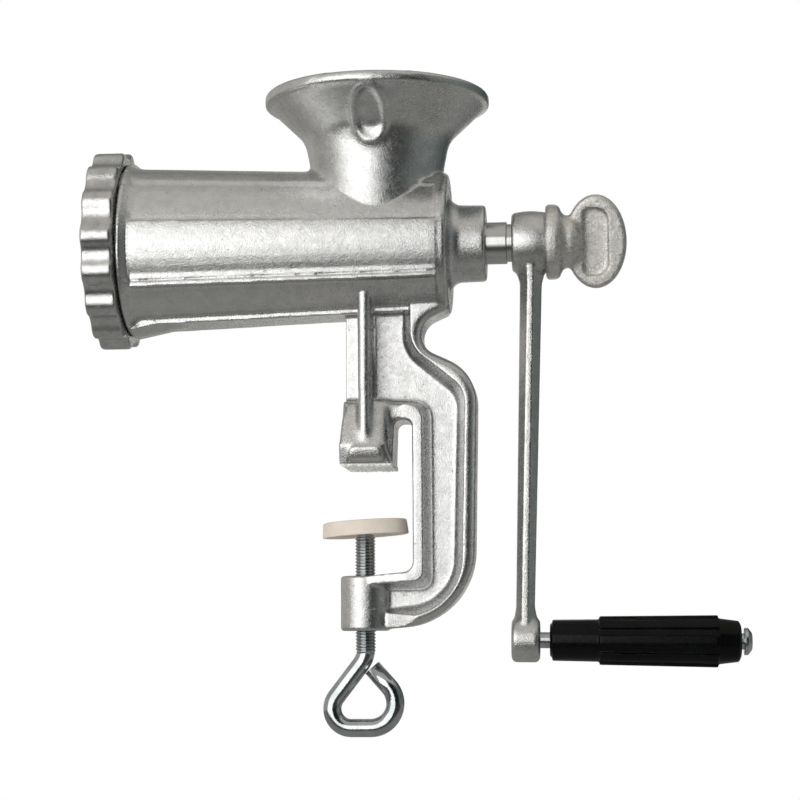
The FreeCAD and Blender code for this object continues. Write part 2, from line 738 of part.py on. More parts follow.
def casting_regions():
    """The casting, divided at its seams into regions of simple shape that meet face to face."""
    whole = casting()
    hopper_half = HOPPER_RIM_RADIUS + 1.0
    hopper_side = slab_xz([
        (HOPPER_X - hopper_half, HOPPER_SEAM_Z),
        (HOPPER_X + hopper_half, HOPPER_SEAM_Z),
        (HOPPER_X + hopper_half, SEAM_REACH),
        (HOPPER_X - hopper_half, SEAM_REACH),
    ], 2 * SEAM_REACH)
    jaw_side = slab_xz([
        (-SEAM_REACH, -JAW_SEAM_MARGIN),
        (SLOT_MIDDLE_X, -JAW_SEAM_MARGIN),
        (SLOT_MIDDLE_X, JAW_SEAM_Z),
        (-SEAM_REACH, JAW_SEAM_Z),
    ], 2 * SEAM_REACH)
    arm_side = slab_xz([
        (SLOT_MIDDLE_X, JAW_SEAM_Z),
        (SEAM_REACH, JAW_SEAM_Z),
        (SEAM_REACH, -SEAM_REACH),
        (-SEAM_REACH, -SEAM_REACH),
        (-SEAM_REACH, -JAW_SEAM_MARGIN),
        (SLOT_MIDDLE_X, -JAW_SEAM_MARGIN),
    ], 2 * SEAM_REACH)
    return {
        "barrel": whole.cut([hopper_side, jaw_side, arm_side]),
        "hopper": whole.common(hopper_side),
        "upper_jaw": whole.common(jaw_side),
        "clamp_arm": whole.common(arm_side),
    }


def plate_key_pin():
    return key_hole(-0.02)


def ring_outline(x):
    """Wavy outline of the ring nut, with a lobe at the top and at each side."""
    pitch = 2 * math.pi / RING_LOBES
    middle = RING_RADIUS - RING_LOBE_DEPTH / 2

    def at(angle, radius):
        return V(x, -radius * math.cos(angle), AXIS_Z + radius * math.sin(angle))

    edges = []
    for k in range(RING_LOBES):
        top = k * pitch
        start = at(top - pitch / 4, middle)
        flank = at(top + pitch / 4, middle)
        end = at(top + 3 * pitch / 4, middle)
        edges.append(Part.Arc(start, at(top, RING_RADIUS), flank).toShape())
        edges.append(Part.Arc(flank, at(top + pitch / 2, RING_RADIUS - RING_LOBE_DEPTH), end).toShape())
    return Part.Wire(edges)


def ring_nut():
    """Lobed ring with a lip that holds the plate and a plain bore over the threaded nose."""
    back = RING_FRONT_X + RING_WIDTH
    blank = Part.Face(ring_outline(RING_FRONT_X)).extrude(V(RING_WIDTH, 0, 0))
    bore = NOSE_RADIUS + RING_CLEARANCE
    turned = lathe_x([
        (RING_FRONT_X, RING_MOUTH_RADIUS, 0.8),
        (RING_FRONT_X, RING_RADIUS, RING_FRONT_ROUND),
        (back, RING_RADIUS, RING_BACK_ROUND),
        (back, bore),
        (PLATE_FRONT_X, bore),
        (PLATE_FRONT_X, RING_MOUTH_RADIUS),
    ])
    return blank.common(turned)


def plate_hole_rings():
    """Radius and count of each ring of holes in the plate."""
    step = 2 * PLATE_HOLE_RADIUS + PLATE_HOLE_GAP
    inner = STUD_PILOT_RADIUS + RUNNING_CLEARANCE + PLATE_CENTRE_LAND + PLATE_HOLE_RADIUS
    outer = PLATE_RADIUS - PLATE_EDGE - PLATE_HOLE_RADIUS
    count = int((outer - inner) / step) + 1
    for i in range(count):
        radius = inner + i * (outer - inner) / max(count - 1, 1)
        yield radius, int(2 * math.pi * radius / step)


def grinding_plate():
    """Perforated plate with a notch for the key pin and a bearing hole for the stud's pilot."""
    plate = rod_x(PLATE_FRONT_X, PLATE_BACK_X, PLATE_RADIUS)
    tools = [rod_x(PLATE_FRONT_X - 1, PLATE_BACK_X + 1, STUD_PILOT_RADIUS + RUNNING_CLEARANCE)]
    for radius, count in plate_hole_rings():
        for k in range(count):
            turn = 2 * math.pi * k / count
            hole = rod_x(PLATE_FRONT_X - 1, PLATE_BACK_X + 1, PLATE_HOLE_RADIUS)
            hole.translate(V(0, radius * math.cos(turn), radius * math.sin(turn)))
            tools.append(hole)
    notch_half = KEY_RADIUS + KEY_CLEARANCE
    floor = AXIS_Z + PLATE_RADIUS - KEY_REACH - KEY_CLEARANCE
    notch = Part.makeBox(PLATE_THICKNESS + 2, 2 * notch_half, 10, V(PLATE_FRONT_X - 1, -notch_half, floor))
    return plate.cut(tools + [notch])


def cutter_knife():
    """Four-wing knife whose flat front runs against the plate."""
    start = PLATE_BACK_X
    hub = lathe_x([
        (start, 0),
        (start, KNIFE_HUB_RADIUS),
        (start + KNIFE_THICKNESS, KNIFE_HUB_RADIUS - 1.5, 1.0),
        (start + KNIFE_THICKNESS, 0),
    ])
    wings = []
    for k in range(KNIFE_WINGS):
        wing = slab_yz([
            (-KNIFE_WING_WIDTH / 2, AXIS_Z),
            (KNIFE_WING_WIDTH / 2, AXIS_Z),
            (KNIFE_WING_WIDTH / 3, AXIS_Z + KNIFE_RADIUS, 1.5),
            (-KNIFE_WING_WIDTH / 2, AXIS_Z + 0.96 * KNIFE_RADIUS, 1.5),
        ], start, start + KNIFE_WING_THICKNESS)
        wing.rotate(V(0, 0, AXIS_Z), V(1, 0, 0), 45 + k * 360 / KNIFE_WINGS)
        wings.append(wing)
    across = STUD_SQUARE + 2 * SQUARE_CLEARANCE
    hole = square_rod_x(start - 1, start + KNIFE_THICKNESS + 1, across)
    return hub.multiFuse(wings).cut(hole).removeSplitter()


def knife_stud():
    """Steel stud: shank in the feed screw, square for the knife, round pilot in the plate."""
    shank = rod_x(WORM_FRONT_X - 0.5, WORM_FRONT_X + STUD_SHANK_LENGTH, STUD_PILOT_RADIUS)
    square = square_rod_x(PLATE_BACK_X + 0.5, WORM_FRONT_X, STUD_SQUARE)
    pilot = rod_x(PLATE_FRONT_X + 0.5, PLATE_BACK_X + 1, STUD_PILOT_RADIUS)
    return square.multiFuse([shank, pilot]).removeSplitter()


def feed_flight():
    """Left-hand helical flight that carries meat towards the plate when the crank turns clockwise."""
    start = WORM_FRONT_X + 1.0
    length = WORM_BACK_X - FLIGHT_END_GAP - start
    reach = BARREL_FRONT_RADIUS
    helix = Part.makeHelix(FLIGHT_PITCH, length - FLIGHT_THICKNESS, reach)
    half = FLIGHT_THICKNESS / 2
    inner = CORE_FRONT_RADIUS - 3.0
    section = Part.makePolygon([
        V(inner, 0, -half),
        V(reach, 0, -half + 1.5),
        V(reach, 0, half - 1.5),
        V(inner, 0, half),
        V(inner, 0, -half),
    ])
    flight = Part.Wire(helix).makePipeShell([section], True, True)
    flight = flight.mirror(V(0, 0, 0), V(1, 0, 0))
    flight.rotate(V(0, 0, 0), V(0, 1, 0), 90)
    flight.translate(V(start + half, 0, AXIS_Z))
    mouth_end = NOSE_X + MOUTH_DEPTH + 2.0
    bound = lathe_x([
        (start, 0),
        (start, bore_radius(mouth_end) - FLIGHT_CLEARANCE),
        (mouth_end, bore_radius(mouth_end) - FLIGHT_CLEARANCE),
        (WORM_BACK_X, bore_radius(WORM_BACK_X) - FLIGHT_CLEARANCE),
        (WORM_BACK_X, 0),
    ])
    return flight.common(bound)


def feed_screw():
    """Feed screw: tapered core and flight, shaft through the rear boss, square end for the crank."""
    core = lathe_x([
        (WORM_FRONT_X, 0),
        (WORM_FRONT_X, CORE_FRONT_RADIUS, 1.0),
        (WORM_BACK_X, CORE_REAR_RADIUS, 1.0),
        (WORM_BACK_X, SHAFT_RADIUS),
        (HUB_START_X - GROOVE_WIDTH, SHAFT_RADIUS, 0.6),
        (HUB_START_X - GROOVE_WIDTH, GROOVE_RADIUS),
        (HUB_START_X, GROOVE_RADIUS),
        (HUB_START_X, 0),
    ])
    square = square_rod_x(HUB_START_X - 1, SHAFT_END_X, SHAFT_SQUARE)
    body = core.multiFuse([feed_flight(), square])
    thumb = THUMB_STUD_RADIUS + THUMB_CLEARANCE
    thumb_hole = rod_x(HUB_END_X - THUMB_STUD_LENGTH - 1.5, SHAFT_END_X + 1, thumb)
    stud_hole = rod_x(WORM_FRONT_X - 1, WORM_FRONT_X + STUD_SHANK_LENGTH + 1, STUD_PILOT_RADIUS + 0.02)
    return body.cut([thumb_hole, stud_hole])


def thrust_washer():
    hole = rod_x(WORM_BACK_X - 1, BORE_END_X + 1, SHAFT_RADIUS + 3 * RUNNING_CLEARANCE)
    return rod_x(WORM_BACK_X, BORE_END_X, THRUST_WASHER_RADIUS).cut(hole)


def arm_section(z, middle, width, depth):
    """Ridged eight-sided section of the crank arm at one height."""
    points = [
        V(middle - width / 2, -ARM_SIDE / 2, z),
        V(middle - ARM_RIDGE / 2, -depth / 2, z),
        V(middle + ARM_RIDGE / 2, -depth / 2, z),
        V(middle + width / 2, -ARM_SIDE / 2, z),
        V(middle + width / 2, ARM_SIDE / 2, z),
        V(middle + ARM_RIDGE / 2, depth / 2, z),
        V(middle - ARM_RIDGE / 2, depth / 2, z),
        V(middle - width / 2, ARM_SIDE / 2, z),
    ]
    return Part.makePolygon(points + [points[0]])


def crank_arm():
    """Arm with a crowned hub on the shaft's square and a boss for the grip pin."""
    hub = lathe_x([
        (HUB_START_X, 0),
        (HUB_START_X, HUB_RADIUS - HUB_CROWN, HUB_ROUND),
        (HUB_MID_X, HUB_RADIUS, 4 * HUB_RADIUS),
        (HUB_END_X, HUB_RADIUS - HUB_CROWN, HUB_ROUND),
        (HUB_END_X, 0),
    ])
    lower = droop(lathe_x([
        (LOWER_HUB_START_X, 0),
        (LOWER_HUB_START_X, LOWER_HUB_RADIUS, LOWER_HUB_ROUND),
        (LOWER_HUB_END_X, LOWER_HUB_RADIUS, LOWER_HUB_ROUND),
        (LOWER_HUB_END_X, 0),
    ], GRIP_AXIS_Z))
    root_z = AXIS_Z - 0.6 * HUB_RADIUS
    shoulder_z = AXIS_Z - HUB_RADIUS - 4.5
    waist_z = GRIP_AXIS_Z + LOWER_HUB_RADIUS + 5.0
    foot_z = GRIP_AXIS_Z + 0.5 * LOWER_HUB_RADIUS
    sections = [
        arm_section(root_z, HUB_MID_X, HUB_LENGTH - 1.0, ARM_TOP_DEPTH + 4.0),
        arm_section(shoulder_z, HUB_MID_X, ARM_TOP_WIDTH, ARM_TOP_DEPTH),
        arm_section(waist_z, LOWER_HUB_MID_X, ARM_FOOT_WIDTH, ARM_FOOT_DEPTH),
        arm_section(foot_z, LOWER_HUB_MID_X, LOWER_HUB_LENGTH - 1.0, ARM_FOOT_DEPTH + 4.0),
    ]
    arm = Part.makeLoft(sections, True, True)
    body = hub.multiFuse([lower, arm]).removeSplitter()
    across = SHAFT_SQUARE + 2 * SQUARE_CLEARANCE
    square = square_rod_x(HUB_START_X - 1, HUB_END_X + 1, across)
    pin = rod_x(LOWER_HUB_START_X - 1, LOWER_HUB_END_X + 1, PIN_RADIUS + 0.02, GRIP_AXIS_Z)
    return body.cut([square, droop(pin)])


def wing_slab(thickness):
    """Oval plate of the thumb screw's wing, upright in the XZ plane before it is turned."""
    ellipse = Part.Ellipse(V(0, 0, 0), WING_HALF_HEIGHT, WING_HALF_LENGTH)
    wire = Part.Wire(ellipse.toShape())
    wire.rotate(V(0, 0, 0), V(0, 0, 1), 90)
    wire.rotate(V(0, 0, 0), V(1, 0, 0), 90)
    wire.translate(V(WING_MID_X, thickness / 2, AXIS_Z))
    return Part.Face(wire).extrude(V(0, -thickness, 0))


def wing_hollow():
    """Upright slot-like hollow through the wing, squarer towards the neck."""
    half_length = WING_HALF_LENGTH - WING_RIM_END
    half_height = WING_HALF_HEIGHT - WING_RIM_TOP
    return slab_xz([
        (WING_MID_X - half_length, AXIS_Z - half_height, 0.5 * half_length),
        (WING_MID_X + half_length, AXIS_Z - half_height, half_length),
        (WING_MID_X + half_length, AXIS_Z + half_height, half_length),
        (WING_MID_X - half_length, AXIS_Z + half_height, 0.5 * half_length),
    ], WING_THICKNESS + 8.0)


def thumb_screw():
    """Cast thumb screw: threaded stud, round flange against the hub, neck and recessed oval wing."""
    flange_end = HUB_END_X + THUMB_FLANGE_THICKNESS
    neck_end = flange_end + THUMB_NECK_LENGTH
    cup = HUB_RADIUS + THUMB_CUP_CLEARANCE
    turned = lathe_x([
        (HUB_END_X - THUMB_STUD_LENGTH, 0),
        (HUB_END_X - THUMB_STUD_LENGTH, THUMB_STUD_RADIUS, 0.8),
        (HUB_END_X, THUMB_STUD_RADIUS),
        (HUB_END_X, cup),
        (HUB_END_X - THUMB_CUP_DEPTH, cup),
        (HUB_END_X - THUMB_CUP_DEPTH, THUMB_FLANGE_RADIUS, 2.0),
        (flange_end, THUMB_FLANGE_RADIUS - 0.5, 3.0),
        (flange_end + 0.3 * THUMB_NECK_LENGTH, THUMB_NECK_RADIUS, 4.0),
        (neck_end + 0.2 * WING_HALF_LENGTH, THUMB_NECK_RADIUS, 5.0),
        (neck_end + 0.6 * WING_HALF_LENGTH, 0.45 * WING_THICKNESS),
        (neck_end + 0.6 * WING_HALF_LENGTH, 0),
    ])
    wing = wing_slab(WING_THICKNESS)
    core = wing_slab(WING_THICKNESS - 2 * WING_RECESS)
    edges = [e for e in wing.Edges if abs(e.BoundBox.YLength) < 1e-6]
    wing = wing.makeFillet(WING_RECESS, edges)
    body = turned.fuse(wing).cut(wing_hollow().cut(core)).removeSplitter()
    body.rotate(V(0, 0, AXIS_Z), V(1, 0, 0), WING_TURN)
    return body


def grip_pin():
    """Pin riveted through the crank's lower boss, with a domed head beyond the grip."""
    head = GRIP_END_X + PIN_END_PLAY
    return droop(lathe_x([
        (LOWER_HUB_START_X + 0.5, 0),
        (LOWER_HUB_START_X + 0.5, PIN_RADIUS, 0.5),
        (head, PIN_RADIUS),
        (head, PIN_HEAD_RADIUS, 0.6),
        (head + PIN_HEAD_HEIGHT / 2, PIN_HEAD_RADIUS, 1.2),
        (head + PIN_HEAD_HEIGHT, PIN_RADIUS, 2.0),
        (head + PIN_HEAD_HEIGHT, 0),
    ], GRIP_AXIS_Z))


def grip_handle():
    """Plastic grip: plain sleeve, wider ribbed length and tapered end, free to turn on its pin."""
    rib_start = GRIP_START_X + GRIP_SLEEVE_LENGTH
    rib_end = GRIP_END_X - GRIP_TAPER_LENGTH
    core = lathe_x([
        (GRIP_START_X, 0),
        (GRIP_START_X, GRIP_SLEEVE_RADIUS - 2.0, 0.4),
        (GRIP_START_X + GRIP_LIP, GRIP_SLEEVE_RADIUS - 1.6),
        (GRIP_START_X + GRIP_LIP, GRIP_SLEEVE_RADIUS, 0.6),
        (rib_end, GRIP_BODY_RADIUS, 2.0),
        (GRIP_END_X - 1.0, GRIP_END_RADIUS, 1.5),
        (GRIP_END_X, 0.75 * GRIP_END_RADIUS, 0.5),
        (GRIP_END_X, 0),
    ], GRIP_AXIS_Z)
    share = GRIP_SLEEVE_LENGTH / (rib_end - GRIP_START_X)
    start_radius = GRIP_SLEEVE_RADIUS + share * (GRIP_BODY_RADIUS - GRIP_SLEEVE_RADIUS)
    sheath = lathe_x([
        (rib_start, 0),
        (rib_start, start_radius + GRIP_RIB_RISE, 0.5),
        (rib_end, GRIP_BODY_RADIUS + GRIP_RIB_RISE, 0.5),
        (rib_end, 0),
    ], GRIP_AXIS_Z)
    ribs = []
    for k in range(GRIP_RIBS):
        middle = k * 360 / GRIP_RIBS
        wedge = sector_x(rib_start, rib_end, middle - GRIP_RIB_HALF_ANGLE, middle + GRIP_RIB_HALF_ANGLE,
                         2 * GRIP_BODY_RADIUS, GRIP_AXIS_Z)
        ribs.append(sheath.common(wedge))
    hole = rod_x(GRIP_START_X - 1, GRIP_END_X + 1, PIN_RADIUS + RUNNING_CLEARANCE, GRIP_AXIS_Z)
    return droop(core.multiFuse(ribs).cut(hole).removeSplitter())


def loop_path():
    """Centre line of the bent rod from the thread's end round the loop to its cut end."""
    corners = [
        (0, THREAD_BOTTOM_Z + 2.0),
        (0, LOOP_BEND_Z, LOOP_BEND_ROUND),
        (LOOP_LEFT_X, LOOP_BOTTOM_Z, LOOP_LEFT_ROUND),
        (LOOP_RIGHT_X, LOOP_BOTTOM_Z, LOOP_RIGHT_ROUND),
        (LOOP_END_X, LOOP_END_Z),
    ]
    closed = rounded_wire(corners, lambda x, z: V(x, 0, z))
    first = V(corners[0][0], 0, corners[0][1])
    last = V(corners[-1][0], 0, corners[-1][1])
    kept = []
    for edge in closed.Edges:
        ends = [v.Point for v in edge.Vertexes]
        closing = any(p.isEqual(first, 1e-6) for p in ends) and any(p.isEqual(last, 1e-6) for p in ends)
        if not closing:
            kept.append(edge)
    return Part.Wire(Part.__sortEdges__(kept)), first


def clamp_screw():
    """Threaded rod with a peened tip above and a triangular loop below."""
    shoulder = PAD_TOP_Z - PAD_HEIGHT - PAD_PLAY + 1.0
    washer_top = PAD_PIVOT_Z + PAD_PLAY + WASHER_THICKNESS
    profile = [
        (0, washer_top + TIP_HEAD_HEIGHT),
        (TIP_HEAD_RADIUS, washer_top + TIP_HEAD_HEIGHT, 0.5),
        (TIP_HEAD_RADIUS, washer_top),
        (TIP_RADIUS, washer_top),
        (TIP_RADIUS, shoulder),
        (SCREW_RADIUS - THREAD_DEPTH, shoulder),
    ]
    turns = int((shoulder - THREAD_BOTTOM_Z) / SCREW_PITCH)
    for k in range(turns):
        top = shoulder - k * SCREW_PITCH
        profile.append((SCREW_RADIUS, top - 0.4 * SCREW_PITCH))
        profile.append((SCREW_RADIUS, top - 0.55 * SCREW_PITCH))
        profile.append((SCREW_RADIUS - THREAD_DEPTH, top - SCREW_PITCH))
    profile += [
        (LOOP_ROD_RADIUS, THREAD_BOTTOM_Z),
        (LOOP_ROD_RADIUS, THREAD_BOTTOM_Z - 0.2),
        (0, THREAD_BOTTOM_Z - 0.2),
    ]
    threaded = lathe_z(profile)
    path, start = loop_path()
    circle = Part.Wire(Part.makeCircle(LOOP_ROD_RADIUS, start, V(0, 0, 1)))
    loop = path.makePipeShell([circle], True, False)
    return threaded.fuse(loop)


def pad_washer():
    low = PAD_PIVOT_Z + PAD_PLAY
    ring = Part.makeCylinder(WASHER_RADIUS, WASHER_THICKNESS, V(0, 0, low))
    hole = Part.makeCylinder(TIP_RADIUS + 0.05, WASHER_THICKNESS + 2, V(0, 0, low - 1))
    return ring.cut(hole)


def clamp_pad():
    """Plastic pad, hollow below, that rocks on the screw's tip."""
    bottom = PAD_TOP_Z - PAD_HEIGHT
    roof = PAD_TOP_Z - PAD_SKIN
    hub_bottom = bottom + 1.0
    hole = TIP_RADIUS + TIP_CLEARANCE
    recess = WASHER_RADIUS + 0.8
    pad = lathe_z([
        (hole, hub_bottom),
        (PAD_HUB_RADIUS, hub_bottom, 0.6),
        (PAD_HUB_RADIUS + 0.5, roof, 1.0),
        (PAD_RADIUS - PAD_RIM - PAD_DRAFT, roof, 1.0),
        (PAD_RADIUS - PAD_RIM, bottom, 0.4),
        (PAD_RADIUS, bottom, 0.5),
        (PAD_RADIUS - PAD_DRAFT, PAD_TOP_Z, 0.8),
        (recess, PAD_TOP_Z, 0.4),
        (recess, PAD_PIVOT_Z),
        (hole, PAD_PIVOT_Z),
    ])
    pad.rotate(V(0, 0, PAD_PIVOT_Z), V(0, 1, 0), -PAD_TILT)
    return pad


LOOSE_PIECES = [
    plate_key_pin,
    thrust_washer,
    feed_screw,
    knife_stud,
    cutter_knife,
    grinding_plate,
    ring_nut,
    crank_arm,
    thumb_screw,
    grip_pin,
    grip_handle,
    clamp_screw,
    pad_washer,
    clamp_pad,
]

pieces = casting_regions()
for make in LOOSE_PIECES:
    pieces[make.__name__] = make()

os.makedirs("parts", exist_ok=True)
for name, shape in pieces.items():
    shape.exportStep("parts/" + name + ".step")
    print(name, len(shape.Solids), shape.isValid(), round(shape.Volume), shape.BoundBox)
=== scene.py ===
import math

import bmesh
import bpy
import numpy as np
from mathutils import Matrix, Vector, noise


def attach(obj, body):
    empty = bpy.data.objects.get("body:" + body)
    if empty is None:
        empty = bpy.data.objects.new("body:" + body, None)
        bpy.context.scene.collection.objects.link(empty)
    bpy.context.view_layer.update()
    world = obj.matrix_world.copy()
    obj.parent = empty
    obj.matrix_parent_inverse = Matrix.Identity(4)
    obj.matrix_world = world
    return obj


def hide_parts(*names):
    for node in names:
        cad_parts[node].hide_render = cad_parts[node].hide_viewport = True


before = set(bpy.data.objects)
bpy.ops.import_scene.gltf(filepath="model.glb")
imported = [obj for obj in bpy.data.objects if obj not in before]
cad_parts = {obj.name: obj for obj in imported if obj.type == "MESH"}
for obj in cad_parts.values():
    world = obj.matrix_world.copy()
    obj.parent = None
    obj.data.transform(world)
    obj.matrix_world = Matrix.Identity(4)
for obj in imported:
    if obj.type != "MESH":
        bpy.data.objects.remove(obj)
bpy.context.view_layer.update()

MM = 0.001
WHITE = (1.0, 1.0, 1.0, 1.0)

# Picture and camera, in pixels of the square picture, metres, degrees and millimetres of sensor
PICTURE_SIDE = 800
FOCAL_PIXELS = 2100
PIXELS_PER_METRE = 2120
CAMERA_TARGET = Vector((0.0167, 0.0, 0.0326))
CAMERA_YAW = 5.0
CAMERA_BELOW = 6.2
CAMERA_ROLL = -0.35
SENSOR_WIDTH = 36.0

# Studio light, in metres and degrees, with brightness 1 for the background's white
LIGHT_CENTRE = Vector((0.0, 0.0, 0.05))
SOFTBOX = {"azimuth": -27.0, "elevation": 6.5, "distance": 1.3, "width": 1.50, "height": 1.02}
SOFTBOX_BRIGHTNESS = 1.5
WORLD_FILL = 0.72

# Floor, which fades to white between two distances from the object
FLOOR_Z = -0.30
FLOOR_RADIUS = 4.0
FLOOR_COLOUR = (0.86, 0.86, 0.86, 1.0)
FLOOR_ROUGHNESS = 0.9
FLOOR_FADE = (0.6, 1.5)

# Tent: brightness of its parts, and the azimuths and heights where one part fades into the next
TENT_RADIUS = 2.2
TENT_LOWEST = -40
TENT_HIGHEST = 90
TENT_FILL = 0.72
TENT_LEFT = 0.50
TENT_RIGHT = 0.20
TENT_FLAG = 0.02
TENT_TOP = 0.60
TENT_BACK = 0.85
LEFT_REAR_SHARE = 0.6
RIGHT_REAR_SHARE = 0.4
TOP_REAR_SHARE = 0.4
LEFT_REAR_TURN = (-180.0, -135.0)
FLAG_START_TURN = (3.0, 10.0)
FLAG_END_TURN = (46.0, 64.0)
RIGHT_REAR_TURN = (105.0, 150.0)
BACK_TURN = (164.0, 175.0)
TOP_RISE = (0.42, 0.66)
TOP_DEPTH = (-0.2, 0.7)
TINT_LEVELS = (0.05, 0.35)
WARM_CLOTH = (1.0, 0.975, 0.915, 1.0)
COOL_CLOTH = (0.78, 1.0, 0.97, 1.0)

# Card over the floor: brightness of its parts, and the places where one part fades into the next
CARD_HALF = 1.9
CARD_ABOVE_FLOOR = 0.01
CARD_FAR = 1.4
CARD_FRONT = 0.06
CARD_BELOW = 0.28
CARD_BELOW_DEPTH = (-0.45, -0.12)
CARD_FAR_DEPTH = (-0.95, -0.68)
CARD_LIT_END = (-0.05, 0.12)
CARD_COLOUR = (1.0, 1.0, 0.95, 1.0)

# Places on the object, in metres in its own frame
CASTING_NODES = ("barrel", "hopper", "upper_jaw", "clamp_arm")
BARREL_AXIS_Z = 0.1065
BARREL_END_X = 0.041
NOSE_END_X = -0.1105
SHAFT_START_X = 0.0355
SEAT_END_X = 0.0185
SCREW_HOLE_TOP_Z = -0.04
FRAME_TOP_Z = 0.067
HOPPER_ROOT_Z = (0.136, 0.156)

# Radii inside which the holes of the casting and of the ring keep their sharp shape
BORE_GUARD = 0.0325
SHAFT_GUARD = 0.0125
NOSE_GUARD = 0.0425
SCREW_GUARD = 0.0062
RING_GUARD = 0.0425

# How freely inside corners fill on the parts of the casting
FILL_AT_HOPPER_ROOT = 1.0
FILL_ON_FRAME = 0.25
FILL_ON_BARREL = 0.03

# Waves of the casting and lumps of its seat
WAVE_SCALE = 95.0
WAVE_HEIGHT = 0.05 * MM
WAVE_SINK = 0.03 * MM
SEAT_BAND = 1.2 * MM
SEAT_FACING = -0.6
SEAT_REACH = 0.02
LUMP_SCALE = 480.0
SMALL_LUMP_SCALE = 1100.0
LUMP_HEIGHT = 0.6 * MM
LUMP_SHIFT = 0.4

# Draft of the foot's end faces
FOOT_HEIGHT = 0.010
FOOT_DRAFT = 0.003
FOOT_LOWEST_Z = -0.002
DRAFT_START_Y = 0.012
DRAFT_RAMP = 0.010

# Softened edges of the casting and of the ring
SOFTEN_ROUNDS = 40
SHOULDER_Z = (0.0015, 0.036)
SHOULDER_Y = 0.0125
TOE_TOP_Z = 0.0105
TOE_SOFTNESS = 0.35
TOP_BAND_TURN = 47.0
TOP_BAND_REACH = 9.0
TOP_BAND_SOFTNESS = 0.5
RING_SOFTNESS = 0.35

# Thread of the clamp screw
THREAD_BOTTOM_Z = -0.0860
THREAD_TOP_Z = -0.03085
THREAD_PITCH = 0.0015
THREAD_RADIUS = 0.0047
THREAD_DEPTH = 0.0007
THREAD_POINTS_AROUND = 56
THREAD_ROWS_PER_TURN = 10
THREAD_FLANK = 1.35
THREAD_FIRST_SHARE = 0.4
SCREW_SHARP_ANGLE = 38

# Name of the mesh layer that holds how far a point stands out (above 0) or lies in a corner (below 0)
EDGE_LAYER = "edge"
WELD_DISTANCE = 0.0005 * MM


def towards(azimuth, elevation):
    """Unit vector out from the object. Azimuth 0 is the side seen in the picture, and grows towards +X."""
    a = math.radians(azimuth)
    e = math.radians(elevation)
    return Vector((math.sin(a) * math.cos(e), -math.cos(a) * math.cos(e), math.sin(e)))


def link(obj):
    bpy.context.scene.collection.objects.link(obj)
    return obj


# Shader helpers

def add(tree, kind, inputs=None, **settings):
    """New shader node with some of its inputs and settings filled in."""
    node = tree.nodes.new(kind)
    for name, value in settings.items():
        setattr(node, name, value)
    for name, value in (inputs or {}).items():
        if isinstance(value, bpy.types.NodeSocket):
            tree.links.new(value, node.inputs[name])
        else:
            node.inputs[name].default_value = value
    return node


def math_node(tree, operation, *values):
    return add(tree, "ShaderNodeMath", dict(enumerate(values)), operation=operation).outputs[0]


def times(tree, first, second):
    return math_node(tree, "MULTIPLY", first, second)


def remap(tree, value, low, high, to_low, to_high, smooth=True):
    """Value carried from one range to another, held at its ends."""
    inputs = {"Value": value, "From Min": low, "From Max": high, "To Min": to_low, "To Max": to_high}
    kind = "SMOOTHSTEP" if smooth else "LINEAR"
    return add(tree, "ShaderNodeMapRange", inputs, interpolation_type=kind).outputs[0]


def rising(tree, value, low, high):
    """0 below a range, 1 above it."""
    return remap(tree, value, low, high, 0.0, 1.0)


def falling(tree, value, low, high):
    """1 below a range, 0 above it."""
    return remap(tree, value, low, high, 1.0, 0.0)


def noise_value(tree, place, scale, detail=2.0, roughness=0.5):
    inputs = {"Vector": place, "Scale": scale, "Detail": detail, "Roughness": roughness}
    return add(tree, "ShaderNodeTexNoise", inputs).outputs["Fac"]


def mix_values(tree, factor, first, second):
    return add(tree, "ShaderNodeMix", {0: factor, 2: first, 3: second}).outputs[0]


def mix_normals(tree, factor, first, second):
    inputs = {0: factor, 4: first, 5: second}
    return add(tree, "ShaderNodeMix", inputs, data_type="VECTOR").outputs[1]


def mix_colours(tree, factor, first, second):
    inputs = {0: factor, 6: first, 7: second}
    return add(tree, "ShaderNodeMix", inputs, data_type="RGBA").outputs[2]


def coordinates(tree, place):
    return add(tree, "ShaderNodeSeparateXYZ", {"Vector": place}).outputs


def grey(value, warmth=0.0):
    return (value * (1 + warmth), value, value * (1 - warmth), 1.0)


def bump(tree, height, distance, strength=1.0, below=None):
    inputs = {"Height": height, "Distance": distance, "Strength": strength}
    if below is not None:
        inputs["Normal"] = below
    return add(tree, "ShaderNodeBump", inputs).outputs[0]


def new_material(name):
    """Material with its tree, its shader and the object's own coordinates."""
    material = bpy.data.materials.new(name)
    material.use_nodes = True
    tree = material.node_tree
    place = add(tree, "ShaderNodeTexCoord").outputs["Object"]
    return material, tree, tree.nodes["Principled BSDF"], place


def parts_of(material):
    """Tree, shader and object coordinates of a material that is there."""
    tree = material.node_tree
    return tree, tree.nodes["Principled BSDF"], tree.nodes["Texture Coordinate"].outputs["Object"]


def source_of(shader, name):
    return shader.inputs[name].links[0].from_socket


def wire(tree, shader, **sockets):
    for name, value in sockets.items():
        tree.links.new(value, shader.inputs[name.replace("_", " ")])


# Materials

